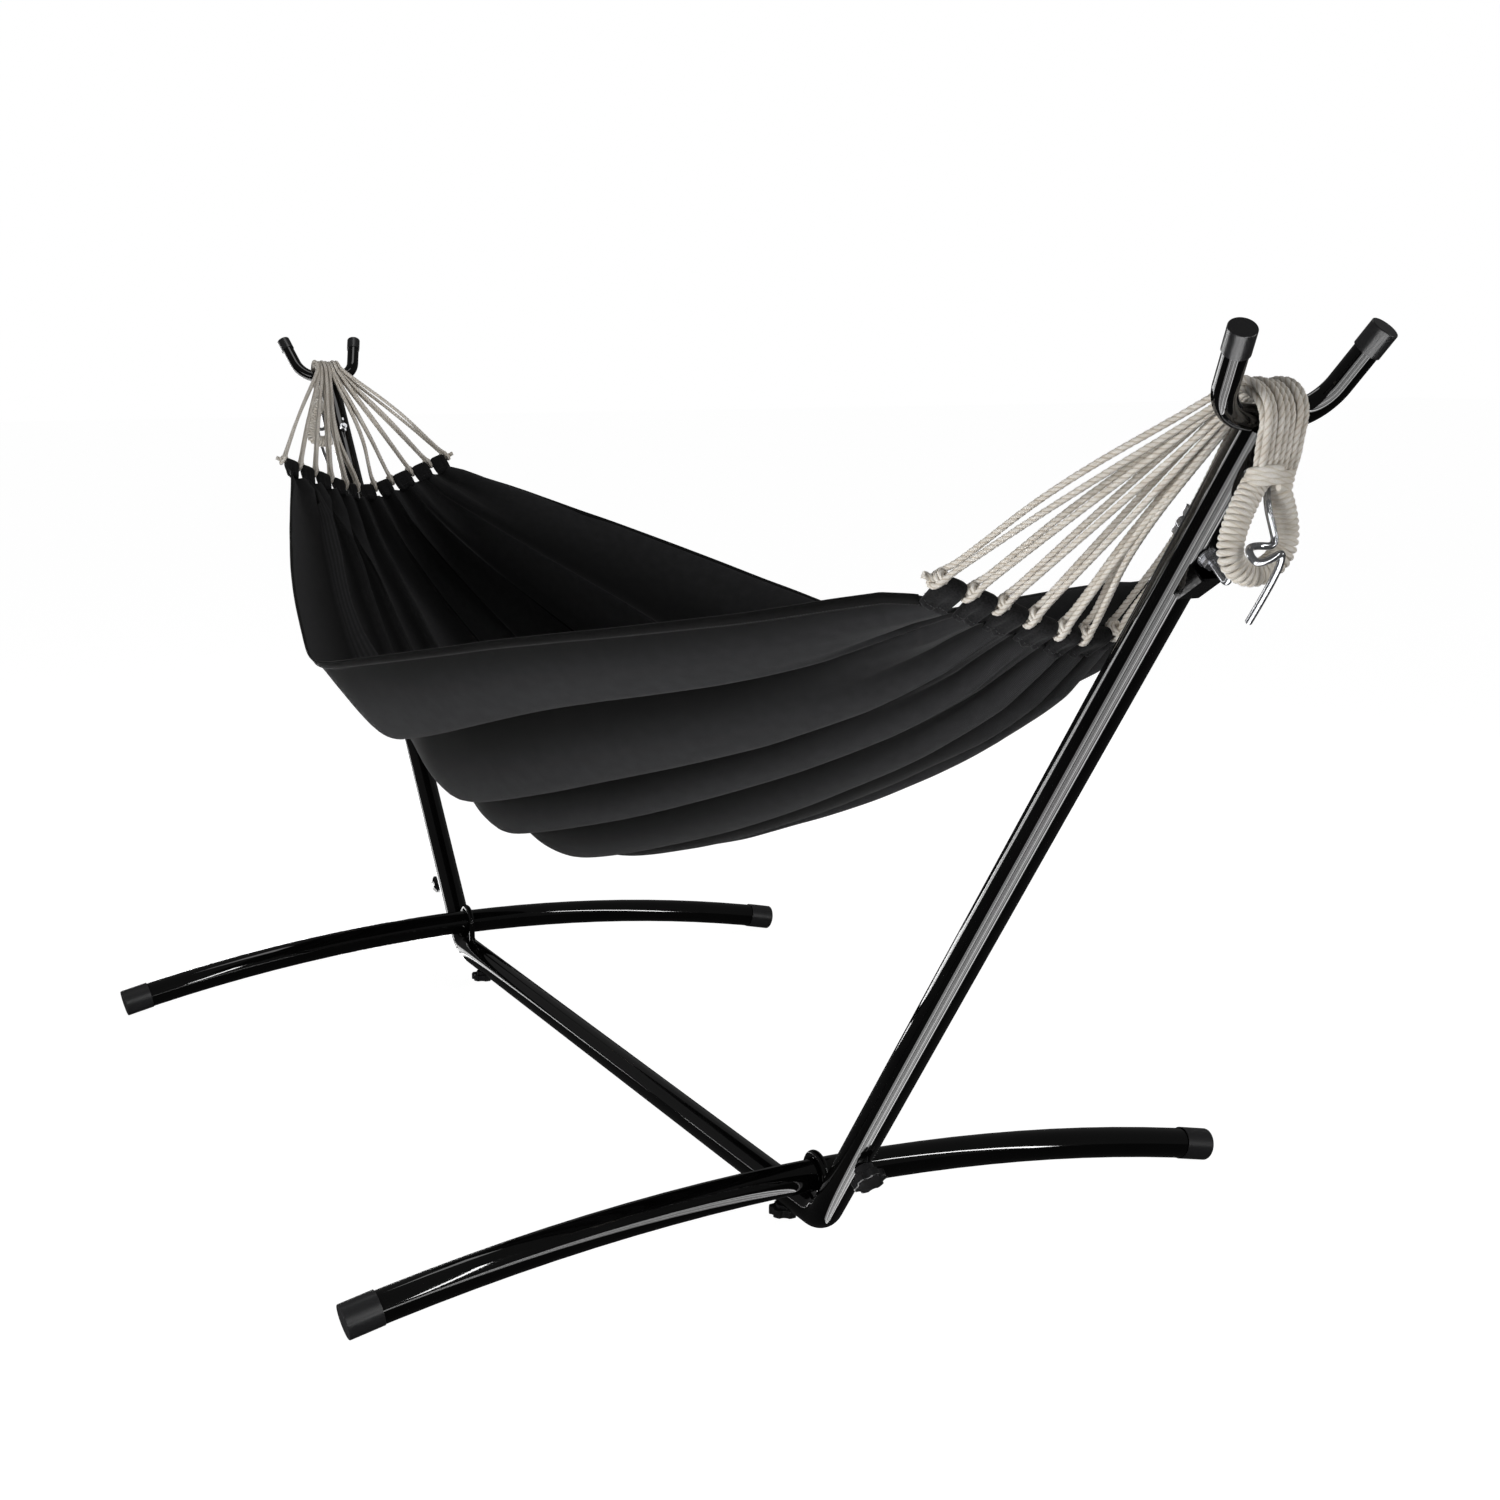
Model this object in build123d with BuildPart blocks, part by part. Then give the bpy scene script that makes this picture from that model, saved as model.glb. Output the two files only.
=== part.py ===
"""Hammock on a free-standing steel stand, built as separate pieces. Millimetres.

X runs along the beam, Y across it, Z up. The ground is z = 0 and the origin is under the middle.
Pieces of one end are drawn at the +X end ("right") and mirrored for the -X end ("left").
"""
import os
from math import asin, atan2, cos, hypot, pi, radians, sin, sqrt, tan

from build123d import *

os.makedirs("parts", exist_ok=True)

# Steel tubes of the stand
TUBE_R = 19.0
WALL = 1.5
BORE_R = TUBE_R - WALL
BEAM_Z = 36.1
BEAM_END = 575.0
LEAN = 37.59
CORNER_X = 643.6
BEND_R = 42.0
SPIGOT_R = 17.4
SPIGOT_BORE_R = 15.9
SPIGOT_LEN = 75.0
UPRIGHT_FROM = 91.0
UPRIGHT_TO = 1190.0

# Feet: one shallow arch under each end, standing on its two end caps
FOOT_X = 627.5
FOOT_APEX_Z = 81.9
FOOT_HALF = 571.6
FOOT_END_Z = 18.9
FOOT_CAP_R = 20.25
FOOT_CAP_LEN = 41.0
HOOP_ROD_R = 4.75
HOOP_R = 24.1

# Fork on top of each upright
FORK_T = 1195.9
FORK_R = 10.75
FORK_WALL = 1.5
FORK_CORNER_Y = 48.56
FORK_BEND_R = 42.5
FORK_TIP_T = 1283.3
FORK_TIP_Y = 69.54
FORK_CAP_R = 12.0
FORK_CAP_LEN = 23.0

# Star knobs that clamp the elbow's spigots
KNOB_R = 20.0
KNOB_HEAD = 10.0
KNOB_FLUTE_R = 7.5
KNOB_FLUTE_AT = 24.2
KNOB_NECK_R = 11.5
BEAM_KNOB_X = 548.0
BEAM_KNOB_NECK = 3.8
UPRIGHT_KNOB_T = 133.0
UPRIGHT_KNOB_NECK = 11.0
STUD_R = 4.0
STUD_HOLE_R = 4.3
NUT_BORE_R = 4.05
NUT_FLATS = 13.0

# Rope hook, its nuts and the wedge bracket behind it
HOOK_T = 1064.0
ROD_R = 3.5
ROD_FIT = 0.05
WING_SPAN_R = 15.0
WING_TOP = 30.2

# Hammock ropes
ROPE_R = 3.0
LOOP_Y = (-154, -123, -94, -64, -35, -12, 21, 52, 88, 122, 154)
SADDLE_PITCH = 7.75
LOWER_LAYER_R = 22.0
UPPER_LAYER_R = 27.0
ROPE_CUT_X = 1358.2
ROPE_START_X = 1355.9
HEM_CORD_R = 4.0
HEM_END_Y = 166.0
HEM_CORNER = (1154.5, 774.1)
HEM_SLOPE = (-0.155, 0.424)
HEM_BEND_R = 96.0

# Fabric bed
BED_END_X = 1100.0
CLOTH = 3.0
HEM_CLOTH = 4.6
SECTION_STEPS = 160

# Long folds of the bed: share of the cloth's width from its near rim, and height outwards.
# Each roll of slack cloth is fullest low down, above the crease where it turns under.
FLAT_END = 50.0
FOLD_FADE = 380.0
FULL_WIDTH = 1250.0
FOLDS = (
    (0.0, 0), (0.105, 16), (0.145, -7), (0.232, 17), (0.272, -9), (0.322, 14), (0.355, -8), (0.425, 13),
    (0.465, -7), (0.510, 6), (0.560, -9), (0.595, 12), (0.655, -10), (0.685, 15), (0.755, -12), (0.785, 16),
    (0.850, -12), (0.890, 11), (1.0, 0),
)


def up(t, s=0.0, y=0.0):
    """A point by its distance t along the upright's axis and s outwards from it."""
    lean = radians(LEAN)
    return Vector(
        CORNER_X + t * sin(lean) + s * cos(lean),
        y,
        BEAM_Z + t * cos(lean) - s * sin(lean),
    )


ALONG = (up(1) - up(0)).normalized()
OUT = (up(0, 1) - up(0)).normalized()


def upright_plane(t, s=0.0):
    """A plane square to the upright, with its X axis pointing outwards."""
    return Plane(origin=up(t, s), x_dir=OUT, z_dir=ALONG)


def out_plane(t, s):
    """A plane square to the outward direction, with its X axis up along the upright."""
    return Plane(origin=up(t, s), x_dir=ALONG, z_dir=OUT)


def save(solid, name):
    solid.label = name
    export_step(solid, f"parts/{name}.step")
    print(f"{name}: {len(solid.solids())} solid(s), {solid.volume:.0f} mm3")


def save_ends(right, name):
    """Write a piece of the right end, and its mirror image for the left end."""
    save(right.part, f"right_{name}")
    save(mirror(right.part, about=Plane.YZ), f"left_{name}")


# ---------------------------------------------------------------- stand: feet
foot_rise = FOOT_APEX_Z - FOOT_END_Z
foot_tangent = asin(FOOT_HALF / ((FOOT_HALF**2 + foot_rise**2) / (2 * foot_rise)))
foot_tube_end = FOOT_HALF - 3.2
foot_tube_end_z = FOOT_END_Z + 3.2 * tan(foot_tangent)

with BuildPart() as foot_tube:
    with BuildLine() as foot_line:
        ThreePointArc(
            (FOOT_X, -foot_tube_end, foot_tube_end_z),
            (FOOT_X, 0, FOOT_APEX_Z),
            (FOOT_X, foot_tube_end, foot_tube_end_z),
        )
    with BuildSketch(Plane(origin=foot_line.line @ 0, z_dir=foot_line.line % 0)):
        Circle(TUBE_R)
        Circle(BORE_R, mode=Mode.SUBTRACT)
    sweep(path=foot_line.line)
save_ends(foot_tube, "foot_tube")

for side, name in ((-1, "front_foot_cap"), (1, "rear_foot_cap")):
    cap_plane = Plane(
        origin=(FOOT_X, side * FOOT_HALF, FOOT_END_Z),
        x_dir=(1, 0, 0),
        z_dir=(0, side * cos(foot_tangent), -sin(foot_tangent)),
    )
    with BuildPart() as foot_cap:
        with BuildSketch(cap_plane):
            Circle(FOOT_CAP_R)
        extrude(amount=-FOOT_CAP_LEN)
        fillet(foot_cap.faces().sort_by_distance(cap_plane.origin)[0].edges(), radius=1.2)
        with BuildSketch(cap_plane.offset(-3.0)):
            Circle(TUBE_R + 0.5)
        extrude(amount=-FOOT_CAP_LEN, mode=Mode.SUBTRACT)
        split(bisect_by=Plane.XY, keep=Keep.TOP)
    save_ends(foot_cap, name)

# ---------------------------------------------------------------- stand: beam and elbows
with BuildPart() as beam:
    with BuildSketch(Plane(origin=(-BEAM_END, 0, BEAM_Z), z_dir=(1, 0, 0))):
        Circle(TUBE_R)
        Circle(BORE_R, mode=Mode.SUBTRACT)
    extrude(amount=2 * BEAM_END)
    with BuildSketch(Plane.XY.offset(BEAM_Z)):
        with Locations((-BEAM_KNOB_X, 0), (BEAM_KNOB_X, 0)):
            Circle(STUD_HOLE_R)
    extrude(amount=-2 * TUBE_R, mode=Mode.SUBTRACT)
save(beam.part, "beam")


def elbow_path(beam_x, upright_t):
    """The bent centre line from a place on the beam to a place on the upright."""
    return FilletPolyline(
        (beam_x, 0, BEAM_Z), (CORNER_X, 0, BEAM_Z), up(upright_t), radius=BEND_R
    )


with BuildPart() as elbow:
    with BuildLine() as bend_line:
        elbow_path(BEAM_END, UPRIGHT_FROM)
    with BuildSketch(Plane(origin=(BEAM_END, 0, BEAM_Z), z_dir=(1, 0, 0))):
        Circle(TUBE_R)
    sweep(path=bend_line.line)
    with BuildSketch(Plane(origin=(BEAM_END - SPIGOT_LEN, 0, BEAM_Z), z_dir=(1, 0, 0))):
        Circle(SPIGOT_R)
    extrude(amount=SPIGOT_LEN + 2)
    with BuildSketch(upright_plane(UPRIGHT_FROM - 2)):
        Circle(SPIGOT_R)
    extrude(amount=SPIGOT_LEN + 2)
    chamfer(elbow.faces().sort_by(Axis.X)[0].outer_wire().edges(), length=1.0)
    with BuildLine() as bore_line:
        elbow_path(BEAM_END - SPIGOT_LEN - 1, UPRIGHT_FROM + SPIGOT_LEN + 1)
    with BuildSketch(Plane(origin=bore_line.line @ 0, z_dir=(1, 0, 0))):
        Circle(SPIGOT_BORE_R)
    sweep(path=bore_line.line, mode=Mode.SUBTRACT)
    with BuildLine() as wide_line:
        elbow_path(BEAM_END + 6, UPRIGHT_FROM - 6)
    with BuildSketch(Plane(origin=wide_line.line @ 0, z_dir=(1, 0, 0))):
        Circle(BORE_R)
    sweep(path=wide_line.line, mode=Mode.SUBTRACT)
    with BuildSketch(Plane.XY.offset(BEAM_Z)):
        with Locations((BEAM_KNOB_X, 0)):
            Circle(STUD_HOLE_R)
    extrude(amount=-2 * TUBE_R, mode=Mode.SUBTRACT)
    with BuildSketch(out_plane(UPRIGHT_KNOB_T, 0)):
        Circle(STUD_HOLE_R)
    extrude(amount=2 * TUBE_R, mode=Mode.SUBTRACT)
save_ends(elbow, "elbow")

with BuildPart() as weld_nuts:
    for nut_plane in (
        Plane(origin=(BEAM_KNOB_X, 0, BEAM_Z - 7.4), z_dir=(0, 0, -1)),
        out_plane(UPRIGHT_KNOB_T, 7.4),
    ):
        with BuildSketch(nut_plane):
            RegularPolygon(NUT_FLATS / 2, 6, major_radius=False)
            Circle(NUT_BORE_R, mode=Mode.SUBTRACT)
        extrude(amount=6.5)
save_ends(weld_nuts, "weld_nuts")

with BuildPart() as foot_hoop:
    with BuildLine() as hoop_line:
        leg = Line((FOOT_X - HOOP_R, 0, BEAM_Z + 10), (FOOT_X - HOOP_R, 0, FOOT_APEX_Z))
        crown = ThreePointArc(
            leg @ 1, (FOOT_X, 0, FOOT_APEX_Z + HOOP_R), (FOOT_X + HOOP_R, 0, FOOT_APEX_Z)
        )
        Line(crown @ 1, (FOOT_X + HOOP_R, 0, FOOT_APEX_Z - 14))
    with BuildSketch(Plane(origin=leg @ 0, z_dir=(0, 0, 1))):
        Circle(HOOP_ROD_R)
    sweep(path=hoop_line.line)
    with BuildLine() as welded_line:
        elbow_path(BEAM_END, UPRIGHT_FROM)
    with BuildSketch(Plane(origin=(BEAM_END, 0, BEAM_Z), z_dir=(1, 0, 0))):
        Circle(TUBE_R)
    sweep(path=welded_line.line, mode=Mode.SUBTRACT)
save_ends(foot_hoop, "foot_hoop")


# ---------------------------------------------------------------- stand: uprights and forks
def fork_path():
    """The fork's U-shaped centre line, tip to tip."""
    return FilletPolyline(
        up(FORK_TIP_T - 3.2, 0, -FORK_TIP_Y + 0.75),
        up(FORK_T, 0, -FORK_CORNER_Y),
        up(FORK_T, 0, FORK_CORNER_Y),
        up(FORK_TIP_T - 3.2, 0, FORK_TIP_Y - 0.75),
        radius=FORK_BEND_R,
    )


tip_dir = (up(FORK_TIP_T, 0, FORK_TIP_Y) - up(FORK_T, 0, FORK_CORNER_Y)).normalized()

with BuildPart() as upright:
    with BuildSketch(upright_plane(UPRIGHT_FROM)):
        Circle(TUBE_R)
        Circle(BORE_R, mode=Mode.SUBTRACT)
    extrude(amount=UPRIGHT_TO - UPRIGHT_FROM)
    with BuildSketch(Plane(origin=up(FORK_T, 0, -TUBE_R), x_dir=OUT, z_dir=(0, 1, 0))):
        Circle(FORK_R)
    extrude(amount=2 * TUBE_R, mode=Mode.SUBTRACT)
    with BuildSketch(out_plane(UPRIGHT_KNOB_T, 0)):
        Circle(STUD_HOLE_R)
    extrude(amount=2 * TUBE_R, mode=Mode.SUBTRACT)
    with BuildSketch(out_plane(HOOK_T, -2 * TUBE_R)):
        Circle(ROD_R + 0.3)
    extrude(amount=4 * TUBE_R, mode=Mode.SUBTRACT)
save_ends(upright, "upright")

with BuildPart() as fork:
    with BuildLine() as fork_line:
        fork_path()
    with BuildSketch(Plane(origin=fork_line.line @ 0, z_dir=fork_line.line % 0)):
        Circle(FORK_R)
        Circle(FORK_R - FORK_WALL, mode=Mode.SUBTRACT)
    sweep(path=fork_line.line)
save_ends(fork, "fork")

for side, name in ((-1, "front_fork_cap"), (1, "rear_fork_cap")):
    tip_plane = Plane(
        origin=up(FORK_TIP_T, 0, side * FORK_TIP_Y),
        x_dir=OUT,
        z_dir=(tip_dir.X, side * tip_dir.Y, tip_dir.Z),
    )
    with BuildPart() as fork_cap:
        with BuildSketch(tip_plane):
            Circle(FORK_CAP_R)
        extrude(amount=-FORK_CAP_LEN)
        fillet(fork_cap.faces().sort_by_distance(tip_plane.origin)[0].edges(), radius=1.0)
        with BuildSketch(tip_plane.offset(-3.0)):
            Circle(FORK_R + 0.1)
        extrude(amount=-FORK_CAP_LEN, mode=Mode.SUBTRACT)
    save_ends(fork_cap, name)


# ---------------------------------------------------------------- star knobs and their screws
for name, seat, neck in (
    ("beam_knob", Plane(origin=(BEAM_KNOB_X, 0, BEAM_Z - TUBE_R - 0.3), z_dir=(0, 0, -1)),
     BEAM_KNOB_NECK),
    ("upright_knob", out_plane(UPRIGHT_KNOB_T, TUBE_R + 0.3), UPRIGHT_KNOB_NECK),
):
    head_plane = seat.offset(neck)
    with BuildPart() as knob:
        with BuildSketch(head_plane):
            Circle(KNOB_R)
            with PolarLocations(KNOB_FLUTE_AT, 6, start_angle=30):
                Circle(KNOB_FLUTE_R, mode=Mode.SUBTRACT)
        extrude(amount=KNOB_HEAD)
        rims = knob.faces().filter_by(Axis(head_plane.origin, head_plane.z_dir)).edges()
        fillet(rims, radius=1.4)
        with BuildSketch(seat):
            Circle(KNOB_NECK_R)
        extrude(amount=neck + 2)
        with BuildSketch(seat):
            Circle(STUD_R + 0.02)
        extrude(amount=neck + 6, mode=Mode.SUBTRACT)
    save_ends(knob, name)
    with BuildPart() as screw:
        with BuildSketch(seat.offset(neck + 6)):
            Circle(STUD_R)
        extrude(amount=-(neck + 6 + 0.3 + TUBE_R - 5.5))
        chamfer(screw.faces().sort_by_distance(seat.offset(-16).origin)[0].edges(), length=0.8)
    save_ends(screw, name + "_screw")

# ---------------------------------------------------------------- hook and its hardware
with BuildPart() as hook_bracket:
    with BuildSketch(Plane(origin=up(0), x_dir=ALONG, z_dir=(0, 1, 0))) as wedge:
        with BuildLine():
            Polyline(
                (1020, TUBE_R - 6), (1020, 23), (1053, 36.5), (1053, TUBE_R - 6), close=True
            )
        make_face()
    extrude(amount=11, both=True)
    with BuildSketch(Plane(origin=up(0), x_dir=ALONG, z_dir=(0, 1, 0))):
        with BuildLine():
            Polyline((1010, 0), (1010, 16), (1054, 34), (1054, 0), close=True)
        make_face()
    extrude(amount=8.5, both=True, mode=Mode.SUBTRACT)
    with BuildSketch(upright_plane(1000)):
        Circle(TUBE_R)
    extrude(amount=80, mode=Mode.SUBTRACT)
save_ends(hook_bracket, "hook_bracket")

with BuildPart() as rope_hook:
    with BuildLine() as hook_line:
        FilletPolyline(
            up(HOOK_T, -28.5),
            up(HOOK_T, 42),
            (1362, 4.5, 920),
            (1397, -5, 899),
            (1401, -9, 881),
            (1399, -38, 881),
            (1421, -38, 875),
            (1420, -9, 868),
            (1405, -6, 857),
            (1371, -5, 822),
            radius=[9, 8, 9, 7.5, 10, 10, 7, 8],
        )
    with BuildSketch(Plane(origin=hook_line.line @ 0, z_dir=hook_line.line % 0)):
        Circle(ROD_R)
    sweep(path=hook_line.line)
save_ends(rope_hook, "rope_hook")

with BuildPart() as hook_washer:
    with BuildSketch(out_plane(HOOK_T, TUBE_R)):
        Circle(9.5)
        Circle(ROD_R + 0.3, mode=Mode.SUBTRACT)
    extrude(amount=1.5)
save_ends(hook_washer, "hook_washer")

with BuildPart() as flange_nut:
    with BuildSketch(out_plane(HOOK_T, TUBE_R + 1.5)):
        Circle(9.0)
    extrude(amount=1.4)
    with BuildSketch(out_plane(HOOK_T, TUBE_R + 2.9)):
        RegularPolygon(6.5, 6, major_radius=False)
    extrude(amount=6.2)
    with BuildSketch(out_plane(HOOK_T, TUBE_R)):
        Circle(ROD_R + ROD_FIT)
    extrude(amount=12, mode=Mode.SUBTRACT)
save_ends(flange_nut, "flange_nut")

with BuildPart() as wing_nut:
    with BuildSketch(out_plane(HOOK_T, -TUBE_R - 0.3)):
        Circle(7.0)
    extrude(amount=-6.5, taper=6)
    with BuildSketch(Plane(origin=up(0), x_dir=ALONG, z_dir=(0, 1, 0))):
        for wing in (-1, 1):
            with BuildLine():
                Polyline(
                    (HOOK_T + wing * 4.0, -TUBE_R - 1.5),
                    (HOOK_T + wing * 7.0, -TUBE_R - 2.5),
                    (HOOK_T + wing * WING_SPAN_R, -WING_TOP + 5.5),
                    (HOOK_T + wing * WING_SPAN_R, -WING_TOP),
                    (HOOK_T + wing * (WING_SPAN_R - 5.5), -WING_TOP),
                    (HOOK_T + wing * 4.0, -TUBE_R - 6.5),
                    close=True,
                )
            make_face()
    extrude(amount=1.5, both=True)
    with BuildSketch(out_plane(HOOK_T, -TUBE_R)):
        Circle(ROD_R + ROD_FIT)
    extrude(amount=-14, mode=Mode.SUBTRACT)
save_ends(wing_nut, "wing_nut")


# ---------------------------------------------------------------- rope round the fork, fixed end
with BuildPart() as rope_eye:
    with BuildLine() as eye_line:
        FilletPolyline(
            (1379, 1, 951),
            (1379, -33, 901),
            (1379, -41, 861),
            (1379, -8, 857),
            (1379, 23, 868),
            (1379, 23, 902),
            radius=13,
            close=True,
        )
    with BuildSketch(Plane(origin=eye_line.line @ 0.3, z_dir=eye_line.line % 0.3)):
        Circle(11.5)
    sweep(path=eye_line.line)
    split(bisect_by=Plane.XY.offset(927), keep=Keep.BOTTOM)
save_ends(rope_eye, "rope_eye")

with BuildPart() as rope_whipping:
    for z, mid_x, mid_y, half_x, half_y in (
        (927, 1380, 0.5, 13.5, 25.5),
        (937, 1382, 1.0, 13.5, 24.5),
        (948, 1384, 2.0, 12.5, 22.0),
    ):
        with BuildSketch(Plane.XY.offset(z)):
            with Locations((mid_x, mid_y)):
                Ellipse(half_x, half_y)
    loft()
save_ends(rope_whipping, "rope_whipping")

fork_x = up(FORK_T).X
fork_z = up(FORK_T).Z
pile_in = FORK_R + 0.3
pile_out = UPPER_LAYER_R + ROPE_R
pile_mid = (pile_in + pile_out) / 2

with BuildPart() as rope_saddle:
    with BuildSketch(Plane(origin=(ROPE_CUT_X + 0.3, 0, 1004.3), x_dir=(0, 1, 0), z_dir=(1, 0, 0))):
        RectangleRounded(88, 16, 5)
    for angle, width, mid_y in ((105, 84, 1), (70, 76, 4), (35, 68, 6), (5, 62, 6)):
        turn = radians(angle)
        spot = (fork_x + pile_mid * cos(turn), mid_y, fork_z + pile_mid * sin(turn))
        with BuildSketch(Plane(origin=spot, x_dir=(0, 1, 0), z_dir=(sin(turn), 0, -cos(turn)))):
            RectangleRounded(width, pile_out - pile_in, 6)
    for z, mid_x, width, depth in ((966, 1394.5, 54, 20), (948.2, 1384, 44, 24)):
        with BuildSketch(Plane(origin=(mid_x, 2, z), x_dir=(0, 1, 0), z_dir=(0, 0, -1))):
            RectangleRounded(width, depth, 6)
    loft()
    with BuildLine() as under_line:
        fork_path()
    with BuildSketch(Plane(origin=under_line.line @ 0, z_dir=under_line.line % 0)):
        Circle(FORK_R + 0.2)
    sweep(path=under_line.line, mode=Mode.SUBTRACT)
save_ends(rope_saddle, "rope_saddle")


# ---------------------------------------------------------------- rope loops from fork to hem
def hem_point(y):
    """A place on the hem cord's centre line, which hangs in a V with a rounded bottom."""
    slope = hypot(*HEM_SLOPE)
    turn_y = HEM_BEND_R * sin(atan2(slope, 1))
    if abs(y) > turn_y:
        drop = slope * abs(y)
    else:
        drop = HEM_BEND_R / cos(atan2(slope, 1)) - sqrt(HEM_BEND_R**2 - y**2)
    return Vector(
        HEM_CORNER[0] + drop * HEM_SLOPE[0] / slope, y, HEM_CORNER[1] + drop * HEM_SLOPE[1] / slope
    )


hem_left = hem_point(-HEM_END_Y)
hem_right = hem_point(HEM_END_Y)
hem_corner = Vector(HEM_CORNER[0], 0, HEM_CORNER[1])
loop_gap = HEM_CORD_R + ROPE_R + 0.7

loops = []
for number, y in enumerate(LOOP_Y):
    held = hem_point(y)
    saddle_y = (number - 5) * SADDLE_PITCH
    run = (hem_point(y + 1) - hem_point(y - 1)).normalized()
    toward = Vector(held.X - fork_x, 0, held.Z - fork_z).normalized()
    above = Vector(toward.Z, 0, -toward.X)
    upper = Vector(fork_x, saddle_y - 1.9, fork_z) + above * UPPER_LAYER_R
    lower = Vector(fork_x, saddle_y + 1.9, fork_z) + above * LOWER_LAYER_R
    pull = (held - (upper + lower) * 0.5).normalized()
    over = run.cross(pull).normalized() * loop_gap
    past = held + pull * loop_gap * 1.12
    with BuildPart() as loop:
        with BuildLine() as loop_line:
            FilletPolyline(
                upper + toward * ((ROPE_START_X - upper.X) / toward.X),
                past + over,
                past - over,
                lower + toward * ((ROPE_START_X - lower.X) / toward.X),
                radius=loop_gap - 0.3,
            )
        with BuildSketch(Plane(origin=loop_line.line @ 0, z_dir=loop_line.line % 0)):
            Circle(ROPE_R)
        sweep(path=loop_line.line)
    loops.append(loop.part.solid())
save(Compound(children=loops), "right_rope_fan")
save(Compound(children=[mirror(loop, about=Plane.YZ) for loop in loops]), "left_rope_fan")

with BuildPart() as hem_cord:
    with BuildLine() as cord_line:
        FilletPolyline(hem_left, hem_corner, hem_right, radius=HEM_BEND_R)
    with BuildSketch(Plane(origin=cord_line.line @ 0, z_dir=cord_line.line % 0)):
        Circle(HEM_CORD_R)
    sweep(path=cord_line.line)
save_ends(hem_cord, "hem_cord")
print(f"hem cord arc radius {HEM_BEND_R:.0f} mm, rope loop arc radius {loop_gap:.2f} mm")


# ---------------------------------------------------------------- fabric bed, hems and tabs
def bed_section(x, count):
    """Points of the bed's smooth cross-section at x, from the near rim down and up to the far one."""
    far = sqrt(x**2 + 50**2) - 50
    rim_y = 422 - 0.245 * far - 1.5e-5 * far**2
    rim_z = 637 + 0.188 * far - 1.6e-5 * far**2
    low_z = 337 + 0.262 * far + 9.0e-5 * far**2 + 36 * (x / BED_END_X) ** 10
    power = 2.75 + 1.6 * (far / BED_END_X) ** 6
    section = []
    for step in range(count + 1):
        turn = pi * step / count
        side = cos(turn)
        y = -rim_y * abs(side) ** 0.92 * (1 if side >= 0 else -1)
        section.append((y, rim_z - (rim_z - low_z) * sin(turn) ** power))
    return section


def bed_points(x, inset):
    """Crests and creases of the bed's long folds at x, moved inwards by inset."""
    section = bed_section(x, SECTION_STEPS)
    run = [0.0]
    for before, after in zip(section, section[1:]):
        run.append(run[-1] + hypot(after[0] - before[0], after[1] - before[1]))
    shown = min(1.0, max(0.0, (BED_END_X - FLAT_END - abs(x)) / FOLD_FADE)) * run[-1] / FULL_WIDTH
    moved = []
    for share, depth in FOLDS:
        wanted = share * run[-1]
        step = max(i for i in range(SECTION_STEPS) if run[i] <= wanted)
        part = (wanted - run[step]) / (run[step + 1] - run[step])
        before, after = section[step], section[step + 1]
        step_y, step_z = after[0] - before[0], after[1] - before[1]
        reach = (inset - depth * shown) / hypot(step_y, step_z)
        y = before[0] + step_y * part - reach * step_z
        z = before[1] + step_z * part + reach * step_y
        moved.append((x, y, z))
    return moved


bed_x = [-1100, -1050, -960, -820, -650, -470, -300, -150, 0, 150, 300, 470, 650, 820, 960, 1050, 1100]
with BuildPart() as bed:
    for x in bed_x:
        outer = bed_points(x, 0.0)
        inner = bed_points(x, CLOTH)
        with BuildSketch(Plane(origin=(x, 0, 0), x_dir=(0, 1, 0), z_dir=(1, 0, 0))):
            with BuildLine():
                lower_edge = Spline([(p[1], p[2]) for p in outer])
                upper_edge = Spline([(p[1], p[2]) for p in inner])
                Line(lower_edge @ 0, upper_edge @ 0)
                Line(lower_edge @ 1, upper_edge @ 1)
            make_face()
    loft()
save(bed.part, "bed")


def hem_sheet_point(x, y):
    """A place in the hem's cloth, between the bed's end and the hem cord."""
    cord = hem_point(y)
    share = (x - BED_END_X) / (cord.X - BED_END_X)
    start = Vector(BED_END_X, y, cord.Z - 0.62 * (cord.X - BED_END_X))
    return start + (cord - start) * share


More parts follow.
